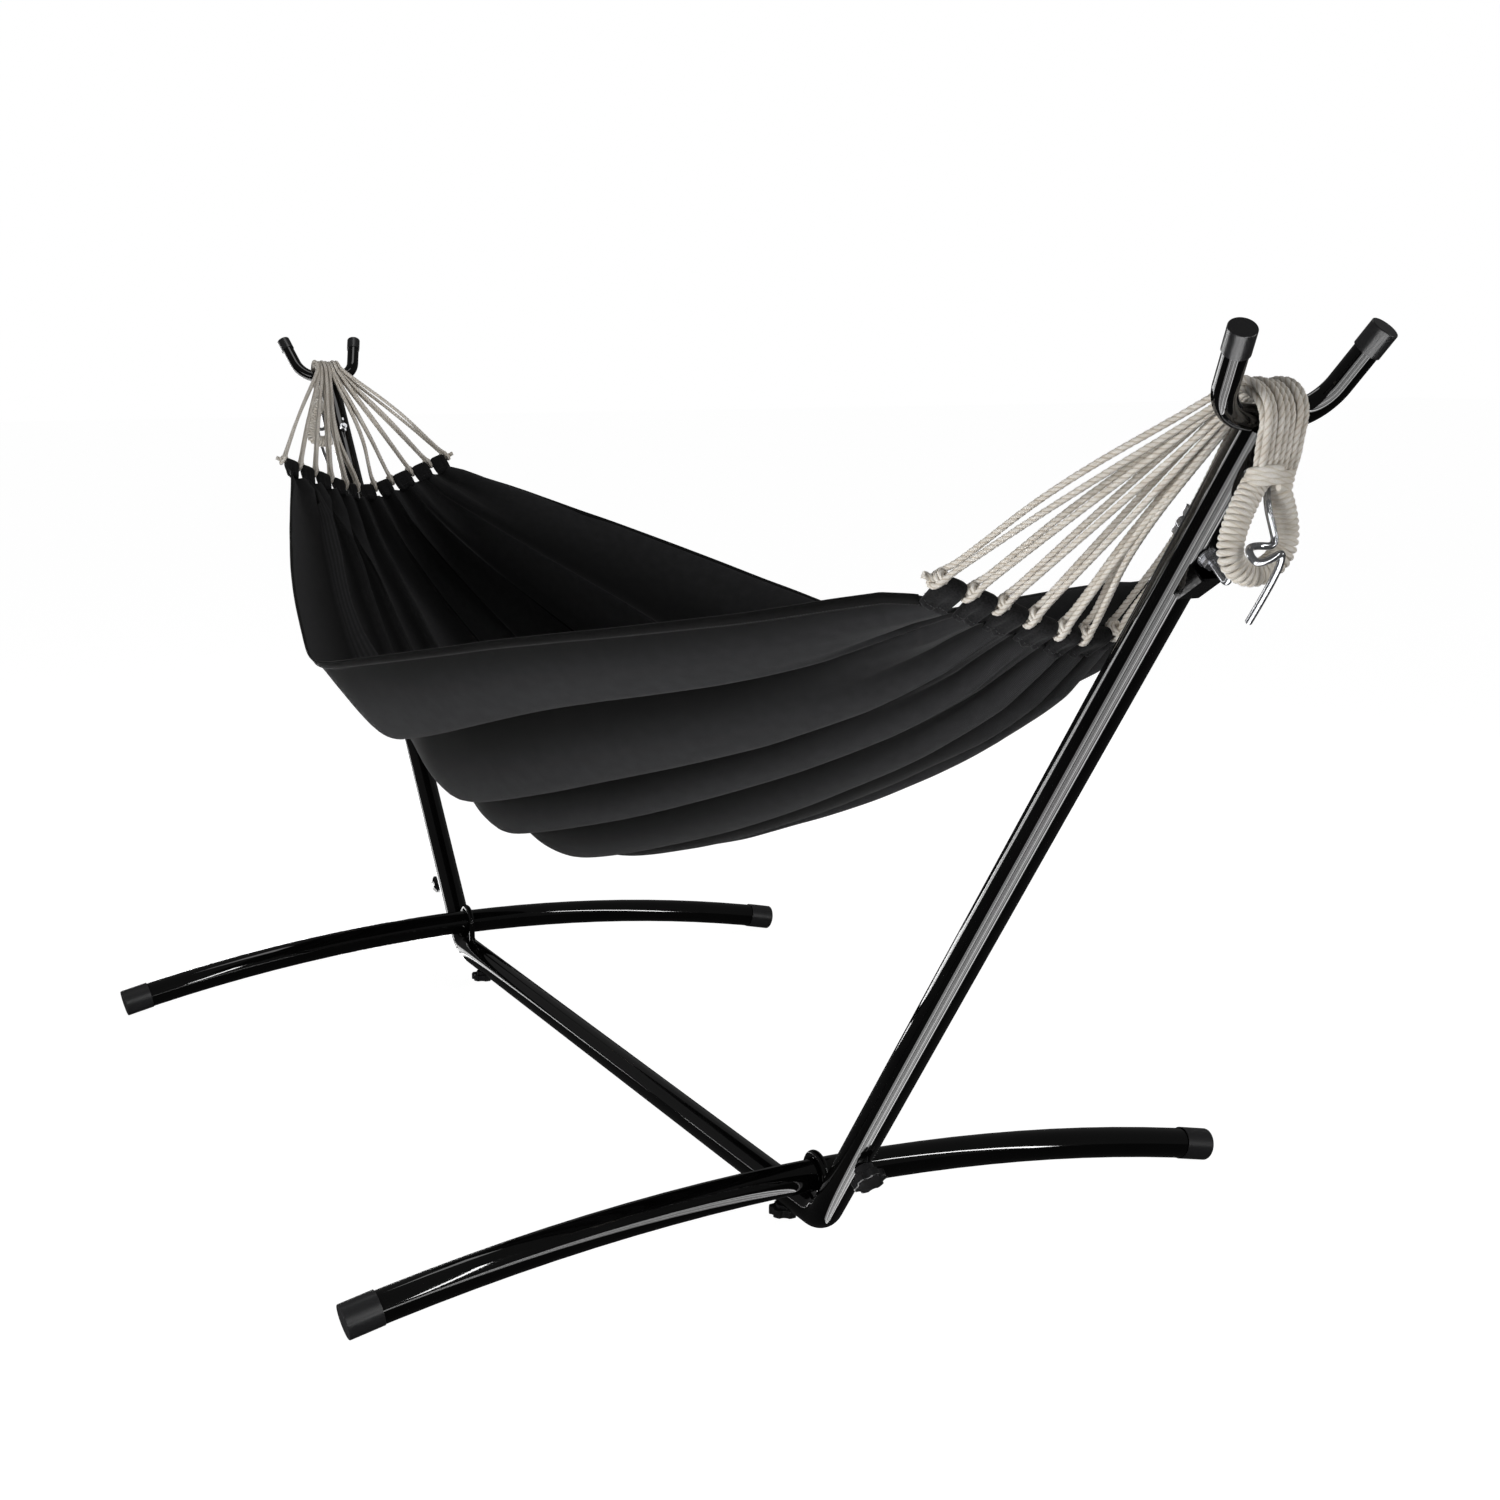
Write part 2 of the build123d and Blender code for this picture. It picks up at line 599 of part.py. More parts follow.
with BuildPart() as hem:
    for x in (BED_END_X, BED_END_X + 14):
        ys = [-171 + 342 * step / 18 for step in range(19)]
        mids = [hem_sheet_point(x, y) for y in ys]
        with BuildSketch(Plane(origin=(x, 0, 0), x_dir=(0, 1, 0), z_dir=(1, 0, 0))):
            with BuildLine():
                under = Spline([(p.Y, p.Z - HEM_CLOTH * 0.6) for p in mids])
                over = Spline([(p.Y, p.Z + HEM_CLOTH * 0.6) for p in mids])
                Line(under @ 0, over @ 0)
                Line(under @ 1, over @ 1)
            make_face()
    loft()
    edges = (LOOP_Y[0] - 22,) + LOOP_Y + (LOOP_Y[-1] + 22,)
    for low_y, high_y in zip(edges, edges[1:]):
        mid_y = (low_y + high_y) / 2
        width = high_y - low_y - 15 - 0.03 * abs(mid_y)
        cord = hem_point(mid_y)
        run = (hem_point(mid_y + 1) - hem_point(mid_y - 1)).normalized()
        root = hem_sheet_point(BED_END_X + 8, mid_y * 0.98)
        reach = (root - cord) - run * (root - cord).dot(run)
        face_dir = run.cross(reach).normalized()
        tab_plane = Plane(origin=cord, x_dir=run, z_dir=face_dir)
        with BuildSketch(tab_plane):
            with Locations((0, reach.length / 2 * (1 if tab_plane.y_dir.dot(reach) > 0 else -1))):
                Rectangle(width, reach.length)
        extrude(amount=HEM_CLOTH / 2, both=True)
        with BuildSketch(Plane(origin=cord - run * (width / 2), z_dir=run)):
            Circle(HEM_CORD_R + 3.2)
        extrude(amount=width)
    with BuildLine() as tunnel_line:
        FilletPolyline(hem_left, hem_corner, hem_right, radius=HEM_BEND_R)
    with BuildSketch(Plane(origin=tunnel_line.line @ 0, z_dir=tunnel_line.line % 0)):
        Circle(HEM_CORD_R + 0.2)
    sweep(path=tunnel_line.line, mode=Mode.SUBTRACT)
    with BuildSketch(Plane(origin=(BED_END_X, 0, 800), z_dir=(-1, 0, 0))):
        Rectangle(500, 500)
    extrude(amount=40, mode=Mode.SUBTRACT)
save_ends(hem, "hem")
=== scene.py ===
"""Hammock on a free-standing steel stand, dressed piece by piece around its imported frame. Metres."""

import math

import bmesh
import bpy
import numpy as np
from mathutils import Matrix, Vector


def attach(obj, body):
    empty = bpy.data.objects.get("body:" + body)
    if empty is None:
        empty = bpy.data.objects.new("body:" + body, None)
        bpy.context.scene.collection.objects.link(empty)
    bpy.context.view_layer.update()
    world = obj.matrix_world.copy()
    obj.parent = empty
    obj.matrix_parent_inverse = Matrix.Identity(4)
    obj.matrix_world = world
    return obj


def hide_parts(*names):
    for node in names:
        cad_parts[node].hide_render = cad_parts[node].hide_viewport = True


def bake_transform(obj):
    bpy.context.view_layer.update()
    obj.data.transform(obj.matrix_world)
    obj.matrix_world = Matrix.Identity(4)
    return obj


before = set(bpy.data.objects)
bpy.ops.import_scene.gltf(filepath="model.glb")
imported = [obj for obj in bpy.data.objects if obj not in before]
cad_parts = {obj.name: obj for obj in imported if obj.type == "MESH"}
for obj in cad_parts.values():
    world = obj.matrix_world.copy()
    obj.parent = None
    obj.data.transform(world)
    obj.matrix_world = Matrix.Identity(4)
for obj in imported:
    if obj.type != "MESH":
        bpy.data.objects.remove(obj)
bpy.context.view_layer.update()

# ---------------------------------------------------------------- camera
# A standing person's low view along the stand, from its near right-hand corner.
VIEW_FROM = Vector((2.7109, -1.1188, 1.0396))
YAW, PITCH, ROLL = math.radians(26.381), math.radians(10.759), math.radians(-0.165)
look = Vector((-math.cos(YAW) * math.cos(PITCH), math.sin(YAW) * math.cos(PITCH), -math.sin(PITCH)))
side = look.cross(Vector((0, 0, 1))).normalized()
head = side.cross(look)
camera_data = bpy.data.cameras.new("camera")
camera_data.lens = 50.97
camera_data.sensor_width = 36.0
camera = bpy.data.objects.new("camera", camera_data)
turned_side = side * math.cos(ROLL) + head * math.sin(ROLL)
turned_head = head * math.cos(ROLL) - side * math.sin(ROLL)
camera.matrix_world = Matrix.LocRotScale(
    VIEW_FROM, Matrix((turned_side, turned_head, -look)).transposed(), None
)
bpy.context.collection.objects.link(camera)
scene = bpy.context.scene
scene.camera = camera
scene.view_settings.view_transform = "Standard"


# ---------------------------------------------------------------- floor, sky and lamps
# A matt white studio floor that keeps a faint shadow, under a white sky and soft boxes.
def linear(hex_colour):
    """An sRGB hex colour as the linear colour a shader socket takes."""
    parts = [int(hex_colour[i : i + 2], 16) / 255 for i in (1, 3, 5)]
    return [c / 12.92 if c <= 0.04045 else ((c + 0.055) / 1.055) ** 2.4 for c in parts] + [1.0]


def node(tree, kind, links=None, **settings):
    """Add a node: settings name its properties or, by socket name or number, its inputs."""
    made = tree.nodes.new(kind)
    values = settings.pop("values", {})
    for key, value in settings.items():
        setattr(made, key, value)
    for key, value in values.items():
        made.inputs[key].default_value = value
    for key, source in (links or {}).items():
        tree.links.new(source, made.inputs[key])
    return made


def reckon(tree, operation, *operands):
    """The result of a maths node on sockets or plain numbers."""
    made = tree.nodes.new("ShaderNodeMath")
    made.operation = operation
    for number, operand in enumerate(operands):
        if isinstance(operand, (int, float)):
            made.inputs[number].default_value = operand
        else:
            tree.links.new(operand, made.inputs[number])
    return made.outputs[0]


def mapped(tree, value, low=0.0, high=1.0, to_low=0.0, to_high=1.0):
    """A socket's range from low to high spread over another range, and clamped."""
    limits = {1: low, 2: high, 3: to_low, 4: to_high}
    return node(tree, "ShaderNodeMapRange", {"Value": value}, values=limits).outputs[0]


def by_ray(tree, ray, other, wanted):
    """One shader for a kind of ray, and another for all other rays."""
    return node(tree, "ShaderNodeMixShader", {0: ray, 1: other.outputs[0], 2: wanted.outputs[0]})


FLOOR_HALF = 30.0
WHITE = (1, 1, 1, 1)
floor_mesh = bpy.data.meshes.new("floor")
floor_corners = [(x * FLOOR_HALF, y * FLOOR_HALF, 0) for x, y in ((-1, -1), (1, -1), (1, 1), (-1, 1))]
floor_mesh.from_pydata(floor_corners, [], [(0, 1, 2, 3)])
floor = bpy.data.objects.new("floor", floor_mesh)
bpy.context.collection.objects.link(floor)
paper = bpy.data.materials.new("matt_white_studio_paper")
paper.use_nodes = True
tree = paper.node_tree
tree.nodes.clear()
matt = node(tree, "ShaderNodeBsdfDiffuse", values={"Color": linear("#8c8c8c")})
glow = node(tree, "ShaderNodeEmission", values={"Color": WHITE, "Strength": 0.965})
lit = node(tree, "ShaderNodeAddShader", {0: matt.outputs[0], 1: glow.outputs[0]})
plain = node(tree, "ShaderNodeBsdfDiffuse", values={"Color": linear("#b8b8b8")})
rays = node(tree, "ShaderNodeLightPath").outputs
pick = by_ray(tree, rays["Is Camera Ray"], plain, lit)
# A fan of light panels lies round each foot, seen only in the gloss of the tubes above it. Its
# sides are bearings from the foot, in radians, between which the light fades in.
PANEL_FOOT = 0.655
PANEL_LEVEL, GAP_LEVEL = 12.0, 0.03
FAN_FRONT, FAN_REAR = (-1.12, -0.92), (0.13, 0.08)
RIB_EDGES, RIB_DARK = (0.46, 0.62), 0.08
spot = node(tree, "ShaderNodeSeparateXYZ", {0: node(tree, "ShaderNodeTexCoord").outputs["Object"]})
beyond = reckon(tree, "SUBTRACT", reckon(tree, "ABSOLUTE", spot.outputs["X"]), PANEL_FOOT)
bearing = reckon(tree, "ARCTAN2", spot.outputs["Y"], beyond)
rib_values = {"Scale": 12.0, "Detail": 1.0}
ribs = node(tree, "ShaderNodeTexNoise", {"W": bearing}, noise_dimensions="1D", values=rib_values)
rib = mapped(tree, ribs.outputs[0], *RIB_EDGES, RIB_DARK)
fan = reckon(tree, "MULTIPLY", mapped(tree, bearing, *FAN_FRONT), mapped(tree, bearing, *FAN_REAR))
level = reckon(tree, "MULTIPLY_ADD", reckon(tree, "MULTIPLY", fan, rib), PANEL_LEVEL, GAP_LEVEL)
panels = node(tree, "ShaderNodeEmission", {"Strength": level}, values={"Color": WHITE})
pick = by_ray(tree, rays["Is Glossy Ray"], pick, panels)
node(tree, "ShaderNodeOutputMaterial", {0: pick.outputs[0]})
floor_mesh.materials.append(paper)

sky = bpy.data.worlds.new("white_sky")
scene.world = sky
sky.use_nodes = True
tree = sky.node_tree
tree.nodes.clear()
SKY_IN_GLOSS, SKY_AMBIENT = 0.08, 0.10
rays = node(tree, "ShaderNodeLightPath").outputs
shiny = reckon(tree, "MULTIPLY", rays["Is Glossy Ray"], SKY_IN_GLOSS)
clear = reckon(tree, "MAXIMUM", rays["Is Camera Ray"], rays["Is Transmission Ray"])
strength = reckon(tree, "MAXIMUM", reckon(tree, "MAXIMUM", clear, shiny), SKY_AMBIENT)
white = node(tree, "ShaderNodeBackground", {"Strength": strength}, values={"Color": WHITE})
node(tree, "ShaderNodeOutputWorld", {0: white.outputs[0]})


def soft_box(name, place, target, width, height, watts, mirrored=True):
    """A rectangular lamp that faces a target point; gloss shows it only if it is mirrored."""
    lamp = bpy.data.lights.new(name, "AREA")
    lamp.shape = "RECTANGLE"
    lamp.size, lamp.size_y, lamp.energy = width, height, watts
    holder = bpy.data.objects.new(name, lamp)
    holder.location = place
    aim = Vector(target) - Vector(place)
    holder.rotation_euler = aim.to_track_quat("-Z", "Y").to_euler()
    holder.visible_camera = False
    holder.visible_glossy = mirrored
    bpy.context.collection.objects.link(holder)


soft_box("overhead_box", (-0.6, 0.2, 3.0), (-0.3, 0, 0.5), 1.4, 0.8, 9)
soft_box("front_box", (1.4, -2.9, 0.85), (0.0, 0, 0.5), 1.4, 0.5, 22, mirrored=False)
soft_box("low_box", (0.9, -2.3, 0.12), (0.1, 0, 0.5), 2.4, 0.25, 34, mirrored=False)
soft_box("rear_strip", (3.4, 2.2, 1.2), (0.9, 0, 0.6), 0.10, 2.6, 26)
soft_box("back_fill", (-0.9, 3.2, 1.0), (0, 0, 0.5), 1.8, 0.8, 26, mirrored=False)
soft_box("front_strip", (4.2, 0.1, 1.9), (0.9, 0, 0.6), 0.08, 2.4, 18)


# ---------------------------------------------------------------- steel tubes
# Bent and welded round steel tube: feet, beam, elbows, uprights, forks, hoops and brackets.
# Gloss black enamel, sprayed and baked: a smooth film with a faint orange peel.
def principled(name, colour, roughness, **values):
    """A material with one Principled shader, and its tree."""
    made = bpy.data.materials.new(name)
    made.use_nodes = True
    shader = made.node_tree.nodes["Principled BSDF"]
    shader.inputs["Base Color"].default_value = linear(colour)
    shader.inputs["Roughness"].default_value = roughness
    for key, value in values.items():
        shader.inputs[key.replace("_", " ")].default_value = value
    return made, made.node_tree, shader


def object_place(tree):
    """The piece's own coordinates, in metres."""
    return node(tree, "ShaderNodeTexCoord").outputs["Object"]


def noise(tree, place, scale, detail=2.0, **values):
    """A noise pattern on a place, with its scale in cycles per metre."""
    values.update(Scale=scale, Detail=detail)
    return node(tree, "ShaderNodeTexNoise", {"Vector": place}, values=values).outputs[0]


def add_bump(tree, shader, height, strength, distance):
    """Feed a height pattern to a shader's normal."""
    values = {"Strength": strength, "Distance": distance}
    bump = node(tree, "ShaderNodeBump", {"Height": height}, values=values)
    tree.links.new(bump.outputs[0], shader.inputs["Normal"])


def add_ramp(tree, factor, low, high, low_colour, high_colour):
    """Two colours spread between two values of a pattern."""
    ramp = node(tree, "ShaderNodeValToRGB", {"Fac": factor})
    ramp.color_ramp.elements[0].position, ramp.color_ramp.elements[1].position = low, high
    ramp.color_ramp.elements[0].color = linear(low_colour)
    ramp.color_ramp.elements[1].color = linear(high_colour)
    return ramp.outputs[0]


def tint(tree, shader, *ramp):
    """Colour a shader by a pattern, with a ramp's values and colours."""
    tree.links.new(add_ramp(tree, *ramp), shader.inputs["Base Color"])


ORANGE_PEEL, PEEL_DEPTH = 0.0035, 0.0002
enamel, tree, shader = principled("gloss_black_stove_enamel", "#050505", 0.10, IOR=1.5)
place = object_place(tree)
add_bump(tree, shader, noise(tree, place, 1 / ORANGE_PEEL, 1.0), 0.04, PEEL_DEPTH)
cloudy = noise(tree, place, 9.0, 3.0)
tree.links.new(mapped(tree, cloudy, to_low=0.02, to_high=0.05), shader.inputs["Roughness"])
tint(tree, shader, cloudy, 0.35, 0.7, "#030303", "#080808")
ENDS = ("right", "left")
# The left end is the right end's mirror image.
FLIPS = {"right": Matrix.Identity(3), "left": Matrix.Diagonal((-1, 1, 1))}


def finish_nodes(material, *names):
    """Give CAD nodes a finish."""
    for name in names:
        piece = bpy.data.objects[name]
        piece.data.materials.clear()
        piece.data.materials.append(material)


def finish_ends(material, *names):
    """Give the same CAD nodes of both ends a finish."""
    finish_nodes(material, *[f"{end}_{name}" for end in ENDS for name in names])


finish_nodes(enamel, "beam")
finish_ends(enamel, "foot_tube", "elbow", "foot_hoop", "upright", "fork", "hook_bracket")

# ---------------------------------------------------------------- caps on feet and forks
# Push-on caps, injection moulded in black polyethylene with a fine satin grain.
CAP_GRAIN, CAP_GRAIN_DEPTH = 0.0009, 0.0002
cap_plastic, tree, shader = principled("moulded_black_polyethylene", "#2a2a2b", 0.30, IOR=1.5)
grain = noise(tree, object_place(tree), 1 / CAP_GRAIN)
add_bump(tree, shader, grain, 0.10, CAP_GRAIN_DEPTH)
tint(tree, shader, grain, 0.3, 0.7, "#1e1e1f", "#2b2b2c")
finish_ends(cap_plastic, "front_foot_cap", "rear_foot_cap", "front_fork_cap", "rear_fork_cap")

# ---------------------------------------------------------------- star knobs
# Six-lobed clamping knobs, moulded in black nylon round the head of a zinc-plated screw.
NYLON_GRAIN_SCALE, SPANGLE_SCALE = 900.0, 700.0
knob_plastic, tree, shader = principled("moulded_black_nylon", "#19191a", 0.3, IOR=1.53)
grain = noise(tree, object_place(tree), NYLON_GRAIN_SCALE)
add_bump(tree, shader, grain, 0.15, 0.0002)
tint(tree, shader, grain, 0.3, 0.7, "#141415", "#202021")
zinc, tree, shader = principled("bright_zinc_plate", "#b9bbb8", 0.32, Metallic=1.0)
spangle = noise(tree, object_place(tree), SPANGLE_SCALE, 3.0)
tint(tree, shader, spangle, 0.3, 0.7, "#a4a6a3", "#cccdca")
add_bump(tree, shader, spangle, 0.1, 0.0001)
finish_ends(knob_plastic, "beam_knob", "upright_knob")
finish_ends(zinc, "beam_knob_screw", "upright_knob_screw", "weld_nuts")

# ---------------------------------------------------------------- rope hook, nuts and washer
# A bent steel rod through the upright with a flange nut outside and a wing nut inside.
# Bright chromium plate: a clean mirror with the faintest drawing lines.
DRAWN_SCALE = 260.0
chrome, tree, shader = principled("bright_chromium_plate", "#a0a1a4", 0.16, Metallic=0.75)
drawn = noise(tree, object_place(tree), DRAWN_SCALE)
tree.links.new(mapped(tree, drawn, to_low=0.04, to_high=0.14), shader.inputs["Roughness"])
add_bump(tree, shader, drawn, 0.05, 0.0001)
HOOK_ROD_R = 0.0031
# The rod's corners: the straight shank through the upright, the rise outside it, the fall into
# the end eye, the open ring and the tail. A corner with a bend length is rounded
# over that length, and one without is rounded all the way to the middle of its two legs.
HOOK_CORNERS = [
    (Vector((1.2701, 0.000, 0.8966)), None),
    (Vector((1.3340, 0.000, 0.8472)), 0.012),
    (Vector((1.3540, 0.004, 0.9100)), 0.020),
    (Vector((1.3750, 0.001, 0.9400)), None),
    (Vector((1.3895, -0.008, 0.9140)), 0.012),
    (Vector((1.3940, -0.001, 0.8830)), None),
    (Vector((1.3935, -0.022, 0.8850)), None),
    (Vector((1.3980, -0.034, 0.8830)), None),
    (Vector((1.4080, -0.033, 0.8720)), None),
    (Vector((1.4130, -0.021, 0.8760)), None),
    (Vector((1.4145, -0.011, 0.8820)), None),
    (Vector((1.4080, -0.012, 0.8620)), None),
    (Vector((1.3710, -0.007, 0.8210)), None),
]


def smooth_line(name, runs, closed=False):
    """A curve object with one smooth spline for each run of points."""
    curve = bpy.data.curves.new(name, "CURVE")
    curve.dimensions = "3D"
    curve.twist_mode = "MINIMUM"
    curve.resolution_u = 10
    for points in runs:
        spline = curve.splines.new("NURBS")
        spline.points.add(len(points) - 1)
        for spot, place in zip(spline.points, points):
            spot.co = (*place, 1.0)
        spline.order_u = 3
        spline.use_endpoint_u = not closed
        spline.use_cyclic_u = closed
    holder = bpy.data.objects.new(name, curve)
    bpy.context.collection.objects.link(holder)
    return holder


def bent_run(corners):
    """Control points of a bent rod; a bend length keeps the stretch beyond it straight."""
    run = []
    for index, (corner, bend) in enumerate(corners):
        if bend is None:
            run.append(corner)
            continue
        before, after = corners[index - 1][0], corners[index + 1][0]
        run += [corner.lerp(before, bend / (before - corner).length), corner]
        run.append(corner.lerp(after, bend / (after - corner).length))
    return run


def plain_mesh(holder, name):
    """The evaluated shape of an object as a plain mesh object; the maker is removed."""
    bpy.context.view_layer.update()
    graph = bpy.context.evaluated_depsgraph_get()
    shape = bpy.data.meshes.new_from_object(holder.evaluated_get(graph))
    made = bpy.data.objects.new(name, shape)
    shape.name = name
    bpy.context.collection.objects.link(made)
    bpy.data.objects.remove(holder)
    return made


finish_ends(chrome, "hook_washer", "flange_nut", "wing_nut")
for end in ENDS:
    flip = FLIPS[end]
    rod = smooth_line(f"{end}_hook_line", [[flip @ place for place in bent_run(HOOK_CORNERS)]])
    rod.data.bevel_depth = HOOK_ROD_R
    rod.data.bevel_resolution = 5
    rod.data.use_fill_caps = True
    hook = plain_mesh(rod, f"{end}_bent_rope_hook")
    rounded = [len(face.vertices) == 4 for face in hook.data.polygons]
    hook.data.polygons.foreach_set("use_smooth", rounded)
    hook.data.materials.clear()
    hook.data.materials.append(chrome)
    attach(hook, "stand")
    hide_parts(f"{end}_rope_hook")

# ---------------------------------------------------------------- cotton rope
# Three strands of undyed cotton laid up into 6.6 mm rope. One rope makes every loop at an end:
# from the whipped neck over the fork, out to the hem cord and back.
ROPE_R = 0.0033
LAY = 0.021
LAY_STEP = 0.0026
SECTION_POINTS = 12
SLOPE_X, SLOPE_Z = -0.155, 0.424
CORNER_X, CORNER_Z = 1.1545, 0.7741
CORNER_BEND = 0.096
LOOP_Y = [y / 1000 for y in (-154, -123, -94, -64, -35, -12, 21, 52, 88, 122, 154)]
FORK = Vector((1.3731, 0, 0.9837))


def sized_tree(name, sizes):
    """A node tree for a curve, with inputs for its sizes and its finish, and their outputs."""
    made = bpy.data.node_groups.new(name, "GeometryNodeTree")
    face = made.interface
    face.new_socket("Geometry", in_out="INPUT", socket_type="NodeSocketGeometry")
    for size in sizes:
        face.new_socket(size, in_out="INPUT", socket_type="NodeSocketFloat")
    face.new_socket("Finish", in_out="INPUT", socket_type="NodeSocketMaterial")
    face.new_socket("Geometry", in_out="OUTPUT", socket_type="NodeSocketGeometry")
    return made, node(made, "NodeGroupInput").outputs


def coat(tree, shape, finish):
    """End a tree: real geometry, smooth, with its finish."""
    real = node(tree, "GeometryNodeRealizeInstances", {0: shape})
    smooth = node(tree, "GeometryNodeSetShadeSmooth", {"Geometry": real.outputs[0]})
    links = {"Geometry": smooth.outputs[0], "Material": finish}
    node(tree, "NodeGroupOutput", {0: node(tree, "GeometryNodeSetMaterial", links).outputs[0]})


def rope_tree():
    """Sweep a three-lobed section that turns along each spline of a curve."""
    made, given = sized_tree("laid_rope", ("Radius", "Lay length", "Step length", "Strand depth"))
    links = {"Curve": given["Geometry"], "Length": given["Step length"]}
    even = node(made, "GeometryNodeResampleCurve", links, mode="LENGTH")
    along = node(made, "GeometryNodeSplineParameter").outputs["Length"]
    turns = reckon(made, "DIVIDE", along, given["Lay length"])
    tilt = reckon(made, "MULTIPLY", turns, 2 * math.pi)
    tilted = node(made, "GeometryNodeSetCurveTilt", {"Curve": even.outputs[0], "Tilt": tilt})
    circle = {"Radius": given["Radius"]}
    ring = node(made, "GeometryNodeCurvePrimitiveCircle", circle, values={"Resolution": SECTION_POINTS})
    count = node(made, "GeometryNodeInputIndex").outputs[0]
    wave = reckon(made, "COSINE", reckon(made, "MULTIPLY", count, 3 * math.pi / SECTION_POINTS))
    lobe = reckon(made, "ABSOLUTE", wave)
    deep = reckon(made, "MULTIPLY", reckon(made, "SUBTRACT", lobe, 1.0), given["Strand depth"])
    links = {0: node(made, "GeometryNodeInputPosition").outputs[0], "Scale": reckon(made, "ADD", deep, 1.0)}
    scaled = node(made, "ShaderNodeVectorMath", links, operation="SCALE")
    links = {"Geometry": ring.outputs[0], "Position": scaled.outputs[0]}
    lobed = node(made, "GeometryNodeSetPosition", links)
    marked = node(
        made,
        "GeometryNodeStoreNamedAttribute",
        {"Geometry": lobed.outputs[0], "Value": lobe},
        data_type="FLOAT",
        domain="POINT",
        values={"Name": "strand_crest"},
    )
    links = {"Curve": tilted.outputs[0], "Profile Curve": marked.outputs[0]}
    swept = node(made, "GeometryNodeCurveToMesh", links, values={"Fill Caps": True})
    coat(made, swept.outputs[0], given["Finish"])
    return made


laid_rope = rope_tree()


def grown(holder, name, group, given):
    """Run a node tree on a curve, with its inputs by name; the result as a plain mesh."""
    change = holder.modifiers.new("grown", "NODES")
    change.node_group = group
    for socket in group.interface.items_tree:
        if socket.in_out == "INPUT" and socket.name in given:
            change[socket.identifier] = given[socket.name]
    return plain_mesh(holder, name)


def lay_rope(name, runs, radius, lay, step, finish, depth=0.27):
    """Lay rope along runs of points, each a smooth spline, as one plain mesh."""
    given = {"Radius": radius, "Lay length": lay, "Step length": step, "Strand depth": depth}
    given["Finish"] = finish
    return grown(smooth_line(name + "_line", runs), name, laid_rope, given)


FIBRE_SCALE, PATCH_SCALE = 1400.0, 60.0


def multiplied(tree, first, second):
    """The product of two colours."""
    links = {6: first, 7: second}
    mixed = node(tree, "ShaderNodeMix", links, data_type="RGBA", blend_type="MULTIPLY", values={0: 1.0})
    return mixed.outputs[2]


def cotton_finish(name, groove_shade_colour):
    """Undyed cotton: warm off-white and quite matt, with fibre fuzz, dusty patches and painted shade in the
    grooves between the strands.
    """
    fuzz = {"Sheen_Weight": 0.2, "Sheen_Roughness": 0.5}
    cotton, tree, shader = principled(name, "#e2dbd0", 0.92, IOR=1.45, **fuzz)
    place = object_place(tree)
    fibre = noise(tree, place, FIBRE_SCALE, 3.0, Roughness=0.6)
    mixed = reckon(tree, "MULTIPLY", fibre, noise(tree, place, PATCH_SCALE))
    dusty = add_ramp(tree, mixed, 0.15, 0.38, "#ddd6cb", "#f3efe8")
    # Painted shade: the base colour is darker in the grooves between the strands.
    crest = node(tree, "ShaderNodeAttribute", attribute_name="strand_crest")
    groove_shade = add_ramp(tree, crest.outputs["Fac"], 0.0, 0.6, groove_shade_colour, "#ffffff")
    tree.links.new(multiplied(tree, dusty, groove_shade), shader.inputs["Base Color"])
    add_bump(tree, shader, fibre, 0.5, 0.0004)
    return cotton


cotton = cotton_finish("laid_undyed_cotton", "#d8d0c5")


def hem_point(y):
    """A place on the hem cord's line, a V with a rounded bottom, at the right end."""
    slope = math.hypot(SLOPE_X, SLOPE_Z)
    lean = math.atan(slope)
    if abs(y) > CORNER_BEND * math.sin(lean):
        drop = slope * abs(y)
    else:
        drop = CORNER_BEND / math.cos(lean) - math.sqrt(CORNER_BEND**2 - y * y)
    return Vector((CORNER_X + drop * SLOPE_X / slope, y, CORNER_Z + drop * SLOPE_Z / slope))


FORK_BEND = 0.0425
NECK_ORDER = (1, 0, 2, 4, 3, 5, 7, 6, 8, 10, 9)


SADDLE_ORDER = (-21, -17.5, -14, -7, -3.5, 0, 3.5, 7, 14, 17.5, 21)
SUNK_LOOPS = (1, 4, 6, 9)
# The wing nut on the hook's shank stands between the two middle loops and parts them.
PARTED = {4: -0.006, 5: -0.020, 6: 0.015, 7: 0.004}
NECK_X, NECK_Z = 1.3835, 0.938
MIDDLE_LOOP = 5
# Heights of the two layers of strands over the fork's middle line, and the lower layer's spacing
# over the fork and in the neck.
UPPER_REST, LOWER_REST, SUNK_BY = 0.0285, 0.0195, 0.0046
LOWER_PITCH, NECK_PITCH, NECK_SQUEEZE = 0.0044, 0.0031, 0.74
# Half the gap between a loop's two legs: over its length, at its tie and round the hem cord.
LEG_GAP, TIED_GAP, CORD_GAP = 0.0034, 0.0054, 0.0088


def pile(y, layer, number):
    """Height of a strand over the fork's middle line, higher where the fork's bend rises at y."""
    climb = FORK_BEND - math.sqrt(FORK_BEND**2 - min(abs(y), 0.9 * FORK_BEND) ** 2)
    if layer == 0:
        rest = UPPER_REST - (SUNK_BY if number in SUNK_LOOPS else 0.0)
        return rest + 0.16 * climb + 0.0010 * math.sin(2.4 * number + 0.6)
    return LOWER_REST + 0.40 * climb + 0.0010 * math.sin(1.7 * number)


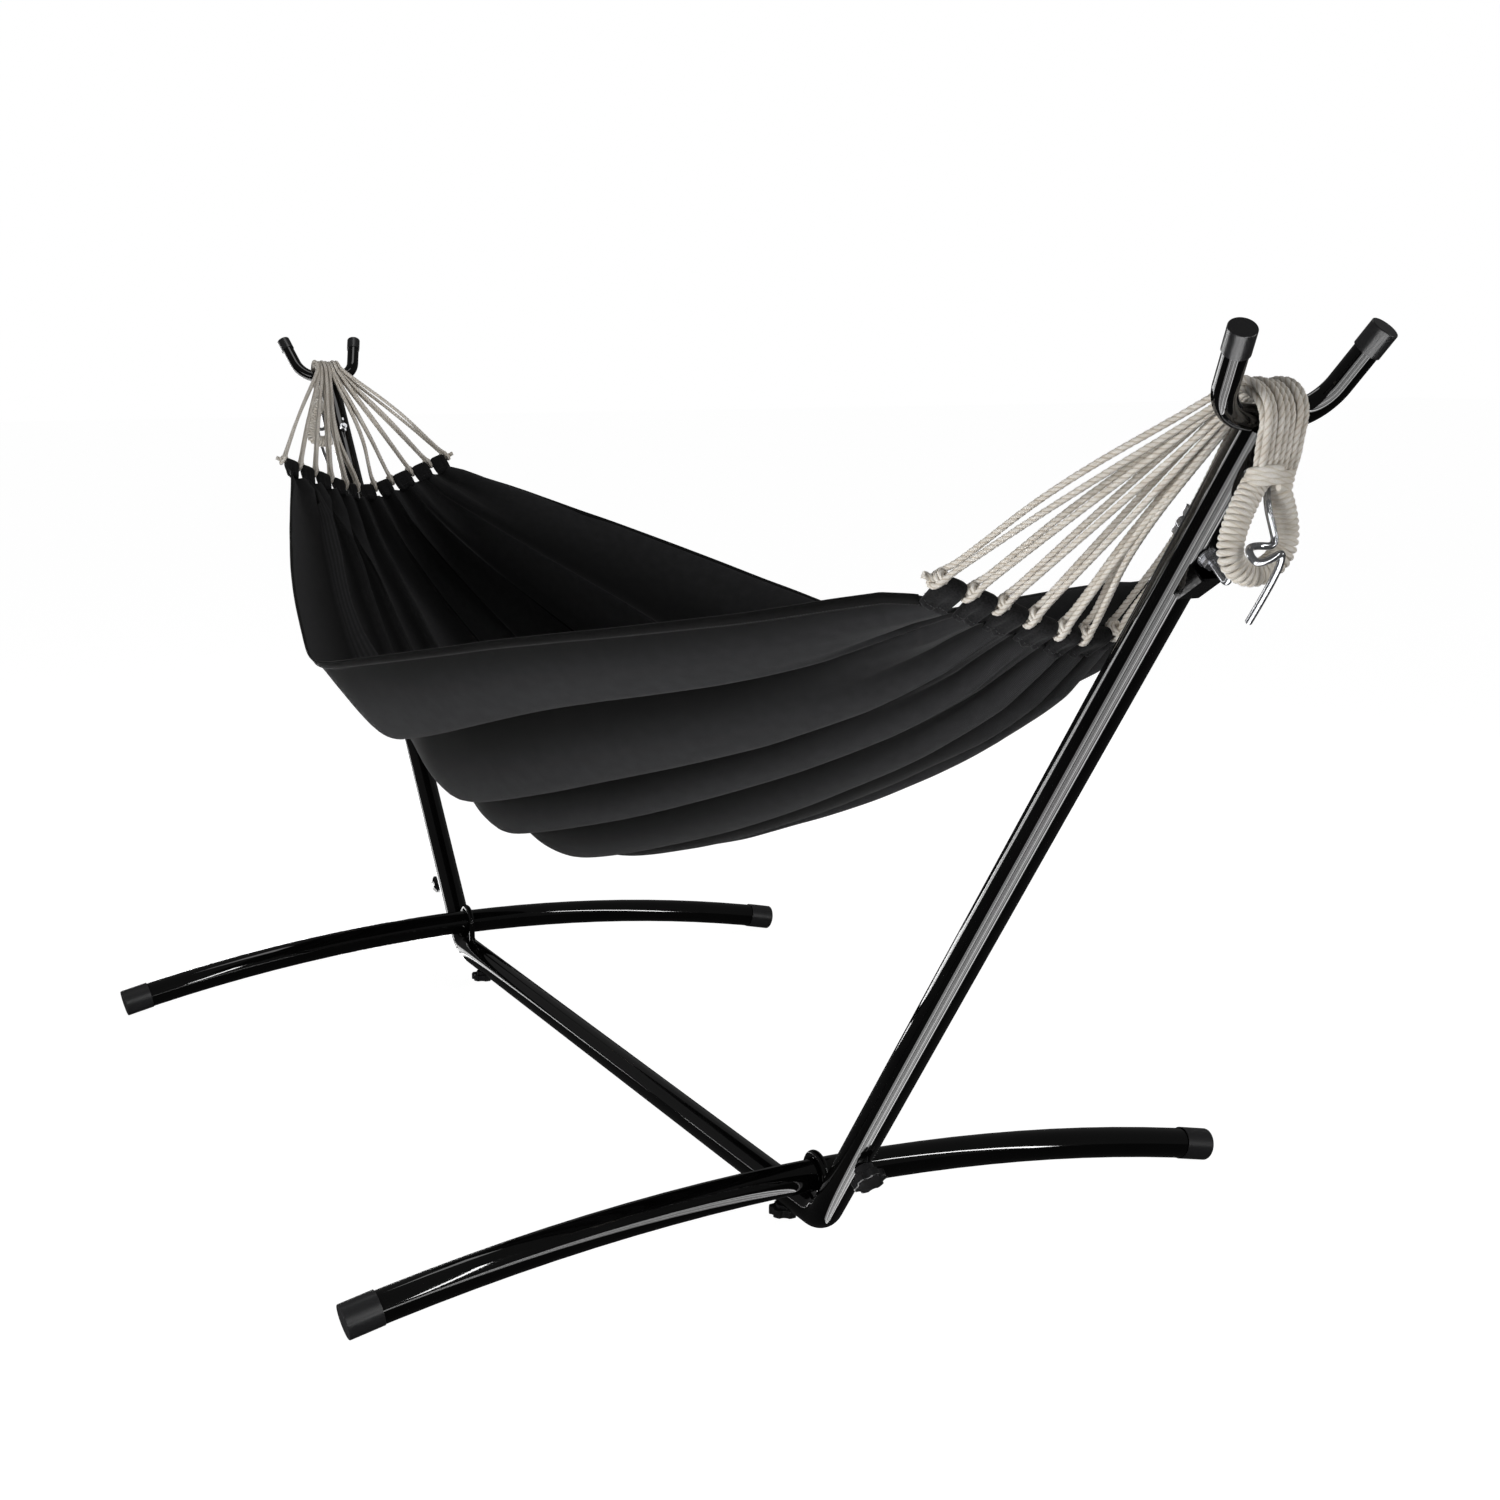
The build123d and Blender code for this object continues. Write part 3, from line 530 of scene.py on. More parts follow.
def loop_run(number, y):
    """One loop's line: neck, saddle, hem cord and back to the neck."""
    rank = number - MIDDLE_LOOP
    neck_rank = NECK_ORDER[number] - MIDDLE_LOOP
    held = hem_point(y)
    across = (hem_point(y + 0.001) - hem_point(y - 0.001)).normalized()
    toward = Vector((held.x - FORK.x, 0, held.z - FORK.z)).normalized()
    above = Vector((toward.z, 0, -toward.x))
    halves = []
    for layer, lift in ((0, 1), (1, -1)):
        sway = 0.0009 * math.sin(3.1 * number + 2.0 * layer)
        over_y = SADDLE_ORDER[number] / 1000
        saddle_y = -0.003 + (over_y if layer == 0 else rank * LOWER_PITCH) + sway
        neck_y = -0.001 + (NECK_SQUEEZE * over_y if layer == 0 else neck_rank * NECK_PITCH)
        height = pile(saddle_y, layer, number)
        over = Vector((FORK.x, saddle_y, FORK.z))
        leave = over + above * height
        pull = (held - leave).normalized()
        out = across.cross(pull).normalized() * lift
        front = 0.0
        if layer == 0:
            front = 0.0025 if number in SUNK_LOOPS else 0.0070
        shoulder_x = FORK.x + 0.55 * height + 0.6 * front + 0.004
        points = [
            Vector((NECK_X + front * 0.7, neck_y, NECK_Z)),
            Vector((NECK_X + 0.0035 + front, neck_y * 1.08, NECK_Z + 0.014)),
            Vector((shoulder_x, 0.3 * saddle_y + 0.7 * neck_y + sway, NECK_Z + 0.028)),
        ]
        for angle in (12, 46, 82):
            turn = math.radians(angle)
            share = 0.55 + 0.45 * angle / 82
            reach = height * (1.04 - 0.05 * (1 - share))
            side_y = saddle_y * share + neck_y * (1 - share) - sway
            points.append(
                Vector((FORK.x + reach * math.cos(turn), side_y, FORK.z + reach * math.sin(turn)))
            )
        points.append(leave * 0.5 + over * 0.5 + (above * 0.53 - toward * 0.10) * height)
        points.append(leave + toward * 0.018)
        middle = leave.lerp(held, 0.55) + Vector((0, PARTED.get(number, 0.0), 0))
        slack = 0.009 * max(0.0, abs(rank) - 3) / 2
        points.append(middle + out * LEG_GAP + above * (slack if layer == 0 else 0.3 * slack))
        points.append(held - pull * 0.030 + out * LEG_GAP)
        points.append(held - pull * 0.014 + out * TIED_GAP)
        points.append(held + out * CORD_GAP)
        halves.append(points)
    end = held + (held - FORK).normalized() * 0.0094
    return halves[0] + [end] + halves[1][::-1]


TIE_STEPS, TIE_R = 24, 0.0029
LOOP_DEPTH = 0.16


def loop_tie(y):
    """The turn and a half that closes one loop round its own legs, just above the hem cord."""
    held = hem_point(y)
    pull = (held - FORK).normalized()
    across = (hem_point(y + 0.001) - hem_point(y - 0.001)).normalized()
    over = across.cross(pull).normalized()
    points = []
    for step in range(TIE_STEPS + 1):
        share = step / TIE_STEPS
        turn = math.radians(200 + 540 * share)
        spread = 0.0058 * math.cos(turn) * over + 0.0046 * math.sin(turn) * across
        points.append(held - pull * (0.0105 - 0.0072 * share) + spread)
    return points


for end in ENDS:
    flip = FLIPS[end]
    runs = [[flip @ p for p in loop_run(number, y)] for number, y in enumerate(LOOP_Y)]
    fan = lay_rope(f"{end}_rope_loops", runs, ROPE_R, LAY, LAY_STEP, cotton, depth=LOOP_DEPTH)
    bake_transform(fan)
    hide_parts(f"{end}_rope_fan", f"{end}_rope_saddle")
    runs = [[flip @ p for p in loop_tie(y)] for y in LOOP_Y]
    ties = lay_rope(f"{end}_rope_loop_ties", runs, TIE_R, LAY, LAY_STEP, cotton, depth=LOOP_DEPTH)
    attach(ties, "hammock")

# ---------------------------------------------------------------- whipping and eye
# The loops' common neck is bound with three turns, and below it the rope's bight is bound
# all the way round into a hard eye that hangs on the hook.
EYE = ((-0.002, 0.950), (-0.030, 0.906), (-0.038, 0.872), (-0.012, 0.857), (0.020, 0.874), (0.020, 0.906))
EYE_X = 1.379
EYE_PARTS, TURN_PARTS = 720, 10
EYE_THROAT = 0.035
WRAP_R, WRAP_AT, WRAP_PITCH = 0.0029, 0.0086, 0.0055
NECK_TURNS, NECK_PARTS, WHIPPING_R = 3, 16, 0.0030
BINDING_LAY, BINDING_STEP, BINDING_DEPTH = 0.035, 0.0016, 0.05
binding = cotton_finish("bound_undyed_cotton", "#ece7de")


def eye_line(count):
    """Evenly spaced places round the eye's middle line, as pairs across and up."""
    holder = smooth_line("eye_line", [[(0, y, z) for y, z in EYE]], closed=True)
    holder.data.resolution_u = 24
    shape = plain_mesh(holder, "eye_line_points")
    spots = np.array([v.co[:] for v in shape.data.vertices])[:, 1:]
    bpy.data.objects.remove(shape)
    start = int(np.argmax(spots[:, 1]))
    spots = np.roll(spots, -start, axis=0)
    spots = np.vstack([spots, spots[:1]])
    run = np.concatenate([[0], np.cumsum(np.hypot(*np.diff(spots, axis=0).T))])
    even = np.linspace(0, run[-1], count)
    return np.column_stack([np.interp(even, run, spots[:, k]) for k in (0, 1)]), run[-1]


def eye_turns():
    """The binding's helix round the eye, from its throat round to its throat."""
    line, length = eye_line(EYE_PARTS + 1)
    steps = round(length / WRAP_PITCH) * TURN_PARTS
    points = []
    for step in range(steps + 1):
        index = (EYE_THROAT + (1 - 2 * EYE_THROAT) * step / steps) * EYE_PARTS
        low = int(index)
        spot = line[low] + (line[min(low + 1, EYE_PARTS)] - line[low]) * (index - low)
        ahead = line[min(low + 6, EYE_PARTS)] - line[max(low - 6, 0)]
        ahead = ahead / np.hypot(*ahead)
        turn = 2 * math.pi * step / TURN_PARTS
        inward = Vector((0, -ahead[1], ahead[0]))
        off = inward * math.cos(turn) + Vector((1, 0, 0)) * math.sin(turn)
        points.append(Vector((EYE_X, spot[0], spot[1])) + WRAP_AT * off)
    return points


def neck_turns():
    """Flat turns round the neck, a little slanted."""
    points = []
    for step in range(NECK_TURNS * NECK_PARTS + 1):
        turn = 2 * math.pi * step / NECK_PARTS
        rise = 0.0052 * step / NECK_PARTS
        x = 1.3815 + 0.0125 * math.cos(turn) + 0.25 * rise
        y = -0.002 + 0.0195 * math.sin(turn)
        points.append(Vector((x, y, 0.9285 + rise + 0.0012 * math.cos(turn))))
    return points


for end in ENDS:
    flip = FLIPS[end]
    for name, run, radius, solid in (
        ("rope_eye_binding", eye_turns(), WRAP_R, "rope_eye"),
        ("rope_neck_whipping", neck_turns(), WHIPPING_R, "rope_whipping"),
    ):
        turns = [[flip @ p for p in run]]
        sizes = (radius, BINDING_LAY, BINDING_STEP)
        piece = lay_rope(f"{end}_{name}", turns, *sizes, binding, depth=BINDING_DEPTH)
        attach(piece, "stand")
        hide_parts(f"{end}_{solid}")

# ---------------------------------------------------------------- hem cord
# A thicker cord of the same cotton runs through the hem's tunnel and carries the loops.
CORD_R, CORD_LAY, CORD_STEP, CORD_HALF = 0.0040, 0.026, 0.003, 0.166
for end in ENDS:
    flip = FLIPS[end]
    line = [flip @ hem_point(y / 1000) for y in (-166, -120, -80, -48, -24, 0, 24, 48, 80, 120, 166)]
    piece = lay_rope(f"{end}_laid_hem_cord", [line], CORD_R, CORD_LAY, CORD_STEP, cotton)
    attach(piece, "hammock")
    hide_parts(f"{end}_hem_cord")

# ---------------------------------------------------------------- fabric bed
# One length of charcoal cotton canvas, gathered to a quarter of its width at each hem, so
# that pleats run from hem to hem and the slack hangs in rolls along the near side.
BED_END = 1.10
HEM_HALF = 0.153
TAB_REACH = 0.030
SEAM_RUN = 0.06
MIDDLE_ROUNDING = 0.05
tab_creases = [(y + HEM_HALF) / (2 * HEM_HALF) for y in LOOP_Y[1:-1]]


def eased(share):
    """A smooth step from 0 to 1."""
    share = np.clip(share, 0, 1)
    return share * share * (3 - 2 * share)


def bed_section(x, count=401):
    """The bed's smooth section at x, from the near rim down and up to the far one."""
    far = math.sqrt(x**2 + MIDDLE_ROUNDING**2) - MIDDLE_ROUNDING
    rim_y = 0.422 - 0.245 * far - 0.015 * far**2
    rim_z = 0.637 + 0.188 * far - 0.016 * far**2
    low_z = 0.337 + 0.262 * far + 0.090 * far**2 + 0.036 * (x / BED_END) ** 10
    power = 2.75 + 1.6 * (far / BED_END) ** 6
    turn = np.linspace(math.pi, 0, count)
    y = rim_y * np.abs(np.cos(turn)) ** 0.92 * np.sign(np.cos(turn))
    z = rim_z - (rim_z - low_z) * np.clip(np.sin(turn), 0, 1) ** power
    return y, z


def spaced(values, places, wanted):
    """Read places along a line at wanted shares of its length."""
    run = np.concatenate([[0], np.cumsum(np.sqrt(sum(np.diff(p) ** 2 for p in places)))])
    return [np.interp(wanted, run / run[-1], p) for p in values]


def smooth_noise(seed, at, scale):
    """A smooth random line between -1 and 1, read at places along it."""
    rng = np.random.default_rng(seed)
    knots = rng.uniform(-1, 1, 64)
    spot = np.asarray(at) / scale + 20
    low = np.floor(spot).astype(int)
    share = eased(spot - low)
    return knots[low % 64] * (1 - share) + knots[(low + 1) % 64] * share


CREASES = (0.120, 0.250, 0.345, 0.465, 0.560, 0.655, 0.755, 0.850)


def cloth_shares(count):
    """Shares across the cloth, closer together at the creases, with one column along each."""
    even = np.linspace(0, 1, 2001)
    density = np.ones_like(even)
    for crease in CREASES:
        density += 2.2 * np.exp(-(((even - crease) / 0.015) ** 2))
    run = np.concatenate([[0], np.cumsum((density[1:] + density[:-1]) / 2)])
    spread = np.interp(np.linspace(0, run[-1], count), run, even)
    for crease in (*CREASES, *tab_creases):
        spread[np.argmin(np.abs(spread - crease))] = crease
    return spread


def bed_grid(along, across):
    """Places of the pleated bed for stations along it and shares across it."""
    rows = []
    for x in along:
        near = min(abs(x), BED_END - SEAM_RUN)
        y, z = bed_section(near)
        y, z = spaced((y, z), (y, z), followed(x, across))
        row = np.column_stack([np.full_like(y, math.copysign(near, x)), y, z])
        if abs(x) > near:
            share = (abs(x) - near) / SEAM_RUN
            held = np.array([hem_end(v) for v in followed(x, across)])
            held[:, 0] *= math.copysign(1, x)
            ease = (eased(share) + share) / 2
            row = row * (1 - ease) + held * ease
        rows.append(row)
    grid = np.array(rows)
    d_along = np.gradient(grid, axis=0)
    d_across = np.gradient(grid, axis=1)
    out = np.cross(d_across, d_along)
    out /= np.linalg.norm(out, axis=2, keepdims=True)
    edge = d_across / np.linalg.norm(d_across, axis=2, keepdims=True)
    return grid, out, edge


def hem_end(share):
    """Where the bed's cloth meets the tabs' seam, by share across it, at the right end."""
    y = (share * 2 - 1) * HEM_HALF
    cord = hem_point(max(-CORD_HALF, min(CORD_HALF, y)))
    cord.y = y
    rise = abs(y) / HEM_HALF
    return tuple(cord + Vector((-0.80 + 0.05 * rise, 0, -0.52 - 0.16 * rise)).normalized() * TAB_REACH)


def crease_lines(x):
    """Where the long creases lie across the cloth at station x, from the near rim to the far one."""
    loose = min(1.0, max(0.0, (BED_END - abs(x)) / 0.35))
    drift = [0.012 * smooth_noise(seed, x, 0.5) for seed in range(11, 19)]
    settled = (0.012, 0.014, 0.012 * max(0.0, -x), -0.010, 0.0, 0.0, 0.0, 0.0)
    return [place + (sway + low) * loose for place, sway, low in zip(CREASES, drift, settled)]


def followed(x, across):
    """Shares across the cloth at station x for columns that follow the creases."""
    return np.interp(across, [0.0, *CREASES, 1.0], [0.0, *crease_lines(x), 1.0])


ROLL_LIP = 0.78
ROLL_DEPTHS = (0.022, 0.044, 0.042, 0.038, 0.020, 0.030, 0.040, 0.044, 0.026)
ROLL_SLUMPS = (0.026, 0.034, 0.028, 0.024, 0.0, 0.008, 0.014, 0.018, 0.010)
# The lowest roll is symmetrical; those before it hang to the near side, those after it to the far.
LOWEST_ROLL, MIDDLE_TAB = 4, 5
GATHER_DEPTH = 0.026


def roll(share):
    """A roll's bulge from its upper crease, at 0, to where its lip turns under, at 1."""
    swell = np.sin(np.pi / 2 * np.clip(share / ROLL_LIP, 0, 1)) ** 0.95
    return swell * np.sqrt(np.clip(1 - (np.clip(share - ROLL_LIP, 0, 1) / (1 - ROLL_LIP)) ** 2, 0, 1))


def slump(share):
    """How far a roll has slid down over the next one, largest at its lip."""
    return share**2 * np.clip((1 - share) / 0.12, 0, 1) ** 0.5


def pleats(along, across):
    """The folds' height outwards and slump, and the painted shade of the cloth's two faces, as arrays."""
    x = np.array(along)[:, None]
    v = np.array(across)[None, :]
    from_hem = BED_END - np.abs(x)
    at_hem = np.exp(-np.clip(from_hem, 0, 2) / 0.17) * eased((0.40 - from_hem) / 0.30)
    height = np.zeros((len(along), len(across)))
    droop, outside, inside = np.zeros_like(height), np.zeros_like(height), np.zeros_like(height)
    bounds = [-0.03, *CREASES, 1.03]
    far_end = np.clip((-x - 0.1) / 0.4, 0, 1)
    for number, (low, high) in enumerate(zip(bounds, bounds[1:])):
        share = (v - low) / (high - low)
        here = (share >= 0) & (share < 1)
        share = np.clip(share, 0, 1)
        varied = 1 + 0.20 * smooth_noise(71 + number, x, 0.45)
        fade = np.clip((from_hem + 0.02) / 0.20, 0, 1) ** 0.7
        if number < LOWEST_ROLL:
            belly, hang = roll(share), slump(share)
            sunk = 0.5 if number == 0 else 0.9
            fade = fade * (1 - 0.3 * far_end)
        elif number == LOWEST_ROLL:
            belly, hang = np.sin(np.pi * share), 0 * share
            sunk = 1.0
        else:
            share = 1 - share
            belly, hang = roll(share), slump(share)
            sunk = 0.75
        height = np.where(here, ROLL_DEPTHS[number] * varied * fade * (belly - sunk), height)
        droop = np.where(here, ROLL_SLUMPS[number] * varied * fade * hang, droop)
        # Painted shade: the outer face is darker near a roll's crease and where its lip turns under, and
        # lighter on its belly; the inner face is lighter at the crease and darker towards the lip.
        lip = eased((1 - share) / 0.08)
        outside = np.where(here, eased((share - 0.20) / 0.66) * lip, outside)
        inside = np.where(here, 1 - 0.86 * eased((share - 0.15) / 0.72) * lip, inside)
    tabs = [0.0, *tab_creases, 1.0]
    gathers, gather_painted_shade = np.zeros_like(height), np.zeros_like(height)
    for number, (low, high) in enumerate(zip(tabs, tabs[1:])):
        share = (v - low) / (high - low)
        here = (share >= 0) & (share < 1)
        share = np.clip(share, 0, 1)
        upper = share if number < MIDDLE_TAB else 1 - share
        swell = np.sin(np.pi / 2 * np.clip(upper / 0.62, 0, 1))
        bulge = swell * np.clip((1 - upper) / 0.38, 0, 1) ** 0.6
        size = GATHER_DEPTH * (1 + 0.30 * smooth_noise(91 + number, x, 0.12))
        gathers = np.where(here, size * (bulge - 0.55), gathers)
        # Painted shade at the hems: the outer face is lighter on each gather's bulge and darker between
        # them, and the inner face is the other way round.
        gather_painted_shade = np.where(here, eased(bulge), gather_painted_shade)
    seam = np.clip((from_hem + 0.02) / 0.07, 0.2, 1)
    height = height * (1 - 0.5 * at_hem) + gathers * at_hem * seam
    outside = outside * (1 - at_hem) + gather_painted_shade * at_hem
    inside = inside * (1 - at_hem) + (1 - gather_painted_shade) * at_hem
    height += 0.0010 * smooth_noise(7, v + 0.03 * x, 0.006) * at_hem * seam
    waves = smooth_noise(8, x + 0.25 * v, 0.11) * smooth_noise(9, v * 1.3 + 0.2 * x, 0.05)
    height += 0.0022 * waves
    return height, droop, outside, inside


# The near side is drawn in a little, most of all just left of the middle of its length.
SAG_AT, SAG_DEPTH = -0.04, 0.012
SAG_LEFT, SAG_RIGHT = 0.25, 0.16
half = np.concatenate([np.linspace(0, 0.9, 86)[1:], np.linspace(0.9, BED_END, 39)[1:]])
stations = np.concatenate([-half[::-1], [0], half])
shares = cloth_shares(200)
grid, out, edge = bed_grid(stations, shares)
height, droop, outside, inside = pleats(stations, shares)
sag_width = np.where(stations < SAG_AT, SAG_LEFT, SAG_RIGHT)
sag_along = np.exp(-(((stations - SAG_AT) / sag_width) ** 2))
sag = SAG_DEPTH * np.outer(sag_along, eased((0.60 - shares) / 0.20))
steep = edge[..., 2]
grid = grid + out * height[..., None] - edge * (droop * steep * np.abs(steep))[..., None]
grid[..., 1] += sag
rows, columns = grid.shape[:2]
CANVAS_THICK = 0.0012
facing = np.cross(np.gradient(grid, axis=0), np.gradient(grid, axis=1))
facing /= np.linalg.norm(facing, axis=2, keepdims=True)
index = np.arange(rows * columns).reshape(rows, columns)
quads = [index[:-1, :-1], index[1:, :-1], index[1:, 1:], index[:-1, 1:]]
outer_faces = np.stack(quads, axis=-1).reshape(-1, 4)
around = np.concatenate([index[0, :-1], index[:-1, -1], index[-1, :0:-1], index[:0:-1, 0]])
after = np.roll(around, -1)
inner_start = rows * columns
rim_faces = np.stack([around, after, after + inner_start, around + inner_start], axis=-1)
skins = [grid + facing * CANVAS_THICK / 2, grid - facing * CANVAS_THICK / 2]
cloth_points = np.concatenate(skins).reshape(-1, 3)
cloth_faces = np.concatenate([outer_faces, outer_faces[:, ::-1] + inner_start, rim_faces])
cloth_mesh = bpy.data.meshes.new("canvas_bed")
cloth_mesh.from_pydata(cloth_points.tolist(), [], cloth_faces.tolist())
cloth_map = cloth_mesh.uv_layers.new(name="cloth")
warp = np.tile(np.repeat(stations, columns), 2)
weft = np.tile(shares * 1.5, rows * 2)
corner = np.empty(len(cloth_mesh.loops), dtype=np.int32)
cloth_mesh.loops.foreach_get("vertex_index", corner)
places = np.column_stack([warp[corner] * 1.1, weft[corner]])
cloth_map.data.foreach_set("uv", places.astype(np.float32).reshape(-1))
# The painted shade of both skins, stored on the cloth as a point attribute.
painted_crease_shade = cloth_mesh.attributes.new("painted_crease_shade", "FLOAT", "POINT")
painted_shade_by_face = np.concatenate([inside.reshape(-1), outside.reshape(-1)])
painted_crease_shade.data.foreach_set("value", painted_shade_by_face.astype(np.float32))
cloth_mesh.polygons.foreach_set("use_smooth", [True] * len(cloth_mesh.polygons))
bed = bpy.data.objects.new("canvas_bed_cloth", cloth_mesh)
bpy.context.collection.objects.link(bed)

# Plain weave with a matt face, with painted shade: the base colour is darker in the folds and lighter on
# the rolls.
THREAD = 0.0011
WAVE_SCALE = 0.314 / THREAD
MATT_CLOTH = {"IOR": 1.45, "Specular_IOR_Level": 0.15, "Sheen_Weight": 0.05, "Sheen_Roughness": 0.5}
canvas, tree, shader = principled("charcoal_cotton_canvas", "#242425", 0.9, **MATT_CLOTH)
place = node(tree, "ShaderNodeUVMap", uv_map="cloth").outputs[0]
waves = []
for direction in ("Y", "X"):
    wave_values = {"Scale": WAVE_SCALE, "Distortion": 0.3}
    wave = node(tree, "ShaderNodeTexWave", {"Vector": place}, bands_direction=direction, values=wave_values)
    waves.append(wave.outputs["Fac"])
weave = reckon(tree, "MULTIPLY", *waves)
tone = reckon(tree, "MULTIPLY", weave, noise(tree, place, 45.0, 4.0))
woven = add_ramp(tree, tone, 0.0, 0.6, "#252526", "#464648")
# Painted shade: the stored attribute darkens the weave's colour in the folds.
painted_shade_node = node(tree, "ShaderNodeAttribute", attribute_name="painted_crease_shade")
painted_shade_tint = add_ramp(tree, painted_shade_node.outputs["Fac"], 0.0, 1.0, "#2a2a2a", "#ffffff")
tree.links.new(multiplied(tree, woven, painted_shade_tint), shader.inputs["Base Color"])
add_bump(tree, shader, weave, 0.25, 0.0004)
cloth_mesh.materials.append(canvas)
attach(bed, "hammock")
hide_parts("bed")

# ---------------------------------------------------------------- edge hems of the bed
# The canvas is folded over twice along both long edges and stitched down with black thread.
EDGE_WIDTH, EDGE_THICK, EDGE_OVERLAP = 0.012, 0.0022, 0.001
# Half of the folded edge's section, as shares of its width and its thickness.
edge_half = ((0, 0.5), (0.5, 0.56), (1, 0.5))
profile = ((-0.0015, 0), *edge_half, (1.02, 0), *[(reach, -rise) for reach, rise in edge_half[::-1]])
STITCH_PITCH, STITCH_R = 0.0045, 0.00045
STITCH_IN, STITCH_LIFT = 0.78, 0.62
rim_lines = []
edge_points, edge_faces = [], []
for first, step in ((0, 1), (columns - 1, -1)):
    rim = grid[:, first]
    inner = grid[:, first + step * 4]
    inward = inner - rim
    inward /= np.linalg.norm(inward, axis=1, keepdims=True)
    away = facing[:, first]
    keep = np.abs(rim[:, 0]) < BED_END
    base = len(edge_points)
    places = np.flatnonzero(keep)
    for place in places:
        for reach, rise in profile:
            run_in = inward[place] * (reach * EDGE_WIDTH - EDGE_OVERLAP)
            edge_points.append(rim[place] + run_in + away[place] * rise * EDGE_THICK)
    sides = len(profile)
    for i in range(len(places) - 1):
        for j in range(sides):
            a, b = base + i * sides + j, base + i * sides + (j + 1) % sides
            edge_faces.append((a, b, b + sides, a + sides))
    for first_ring in (base, base + (len(places) - 1) * sides):
        edge_faces.append(tuple(range(first_ring, first_ring + sides)))
    for lift in (STITCH_LIFT, -STITCH_LIFT):
        sewn = inward[places] * EDGE_WIDTH * STITCH_IN
        rim_lines.append(rim[places] + sewn + away[places] * lift * EDGE_THICK)


def shell(name, points, faces, material):
    """A smooth closed mesh object with outward faces."""
    shape = bpy.data.meshes.new(name)
    shape.from_pydata([tuple(p) for p in points], [], [tuple(f) for f in faces])
    build = bmesh.new()
    build.from_mesh(shape)
    bmesh.ops.recalc_face_normals(build, faces=build.faces)
    build.to_mesh(shape)
    build.free()
    shape.polygons.foreach_set("use_smooth", [True] * len(shape.polygons))
    shape.materials.append(material)
    made = bpy.data.objects.new(name, shape)
    bpy.context.collection.objects.link(made)
    return made


def stitch_tree():
    """Set a small stitch at even steps along each spline, lying along it."""
    made, given = sized_tree("stitch_row", ("Pitch", "Stitch length", "Thread radius"))
    links = {"Curve": given["Geometry"], "Length": given["Pitch"]}
    spots = node(made, "GeometryNodeCurveToPoints", links, mode="LENGTH").outputs
    ball = {"Radius": given["Thread radius"]}
    thread = node(made, "GeometryNodeMeshUVSphere", ball, values={"Segments": 6, "Rings": 4})
    ratio = reckon(made, "DIVIDE", given["Stitch length"], given["Thread radius"])
    halved = reckon(made, "MULTIPLY", ratio, 0.5)
    stretch = node(made, "ShaderNodeCombineXYZ", {"Z": halved}, values={"X": 1.0, "Y": 1.0})
    links = {"Geometry": thread.outputs[0], "Scale": stretch.outputs[0]}
    stitch = node(made, "GeometryNodeTransform", links)
    links = {"Points": spots["Points"], "Instance": stitch.outputs[0], "Rotation": spots["Rotation"]}
    row = node(made, "GeometryNodeInstanceOnPoints", links)
    coat(made, row.outputs[0], given["Finish"])
    return made


stitch_row = stitch_tree()


def sew(name, lines, pitch, finish):
    """Sew rows of stitches along lines of points, as one plain mesh."""
    curve = bpy.data.curves.new(name + "_line", "CURVE")
    curve.dimensions = "3D"
    for points in lines:
        spline = curve.splines.new("POLY")
        spline.points.add(len(points) - 1)
        for spot, place in zip(spline.points, points):
            spot.co = (*place, 1.0)
    holder = bpy.data.objects.new(name + "_line", curve)
    bpy.context.collection.objects.link(holder)
    given = {"Pitch": pitch, "Stitch length": pitch * 0.72, "Thread radius": STITCH_R, "Finish": finish}
    return grown(holder, name, stitch_row, given)


hem_canvas, tree, shader = principled("black_cotton_canvas", "#171718", 0.9, **MATT_CLOTH)
slub = noise(tree, object_place(tree), 500.0, 4.0)
tint(tree, shader, slub, 0.3, 0.7, "#0e0e0f", "#232324")
add_bump(tree, shader, slub, 0.3, 0.0004)
thread_black, tree, shader = principled("black_polyester_thread", "#101011", 0.55)
tint(tree, shader, noise(tree, object_place(tree), 2500.0), 0.3, 0.7, "#0a0a0b", "#2a2a2c")

edge_hems = shell("bed_edge_hems", edge_points, edge_faces, canvas)
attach(edge_hems, "hammock")
edge_stitches = sew("bed_edge_stitches", rim_lines, STITCH_PITCH, thread_black)
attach(edge_stitches, "hammock")

# ---------------------------------------------------------------- hem tabs
# At each end the canvas is doubled over the hem cord and cut away where the loops pass, which
# leaves ten puffed tabs round the cord, sewn down along one seam.
TAB_TOP, TAB_BASE = 0.0082, 0.0046
LOOP_ROOM = 0.0078
TAB_STATIONS, TAB_AROUND = 15, 26
TAB_OVERLAP = 0.006
SEAM_PITCH, SEAM_FROM_END = 0.0036, 0.009


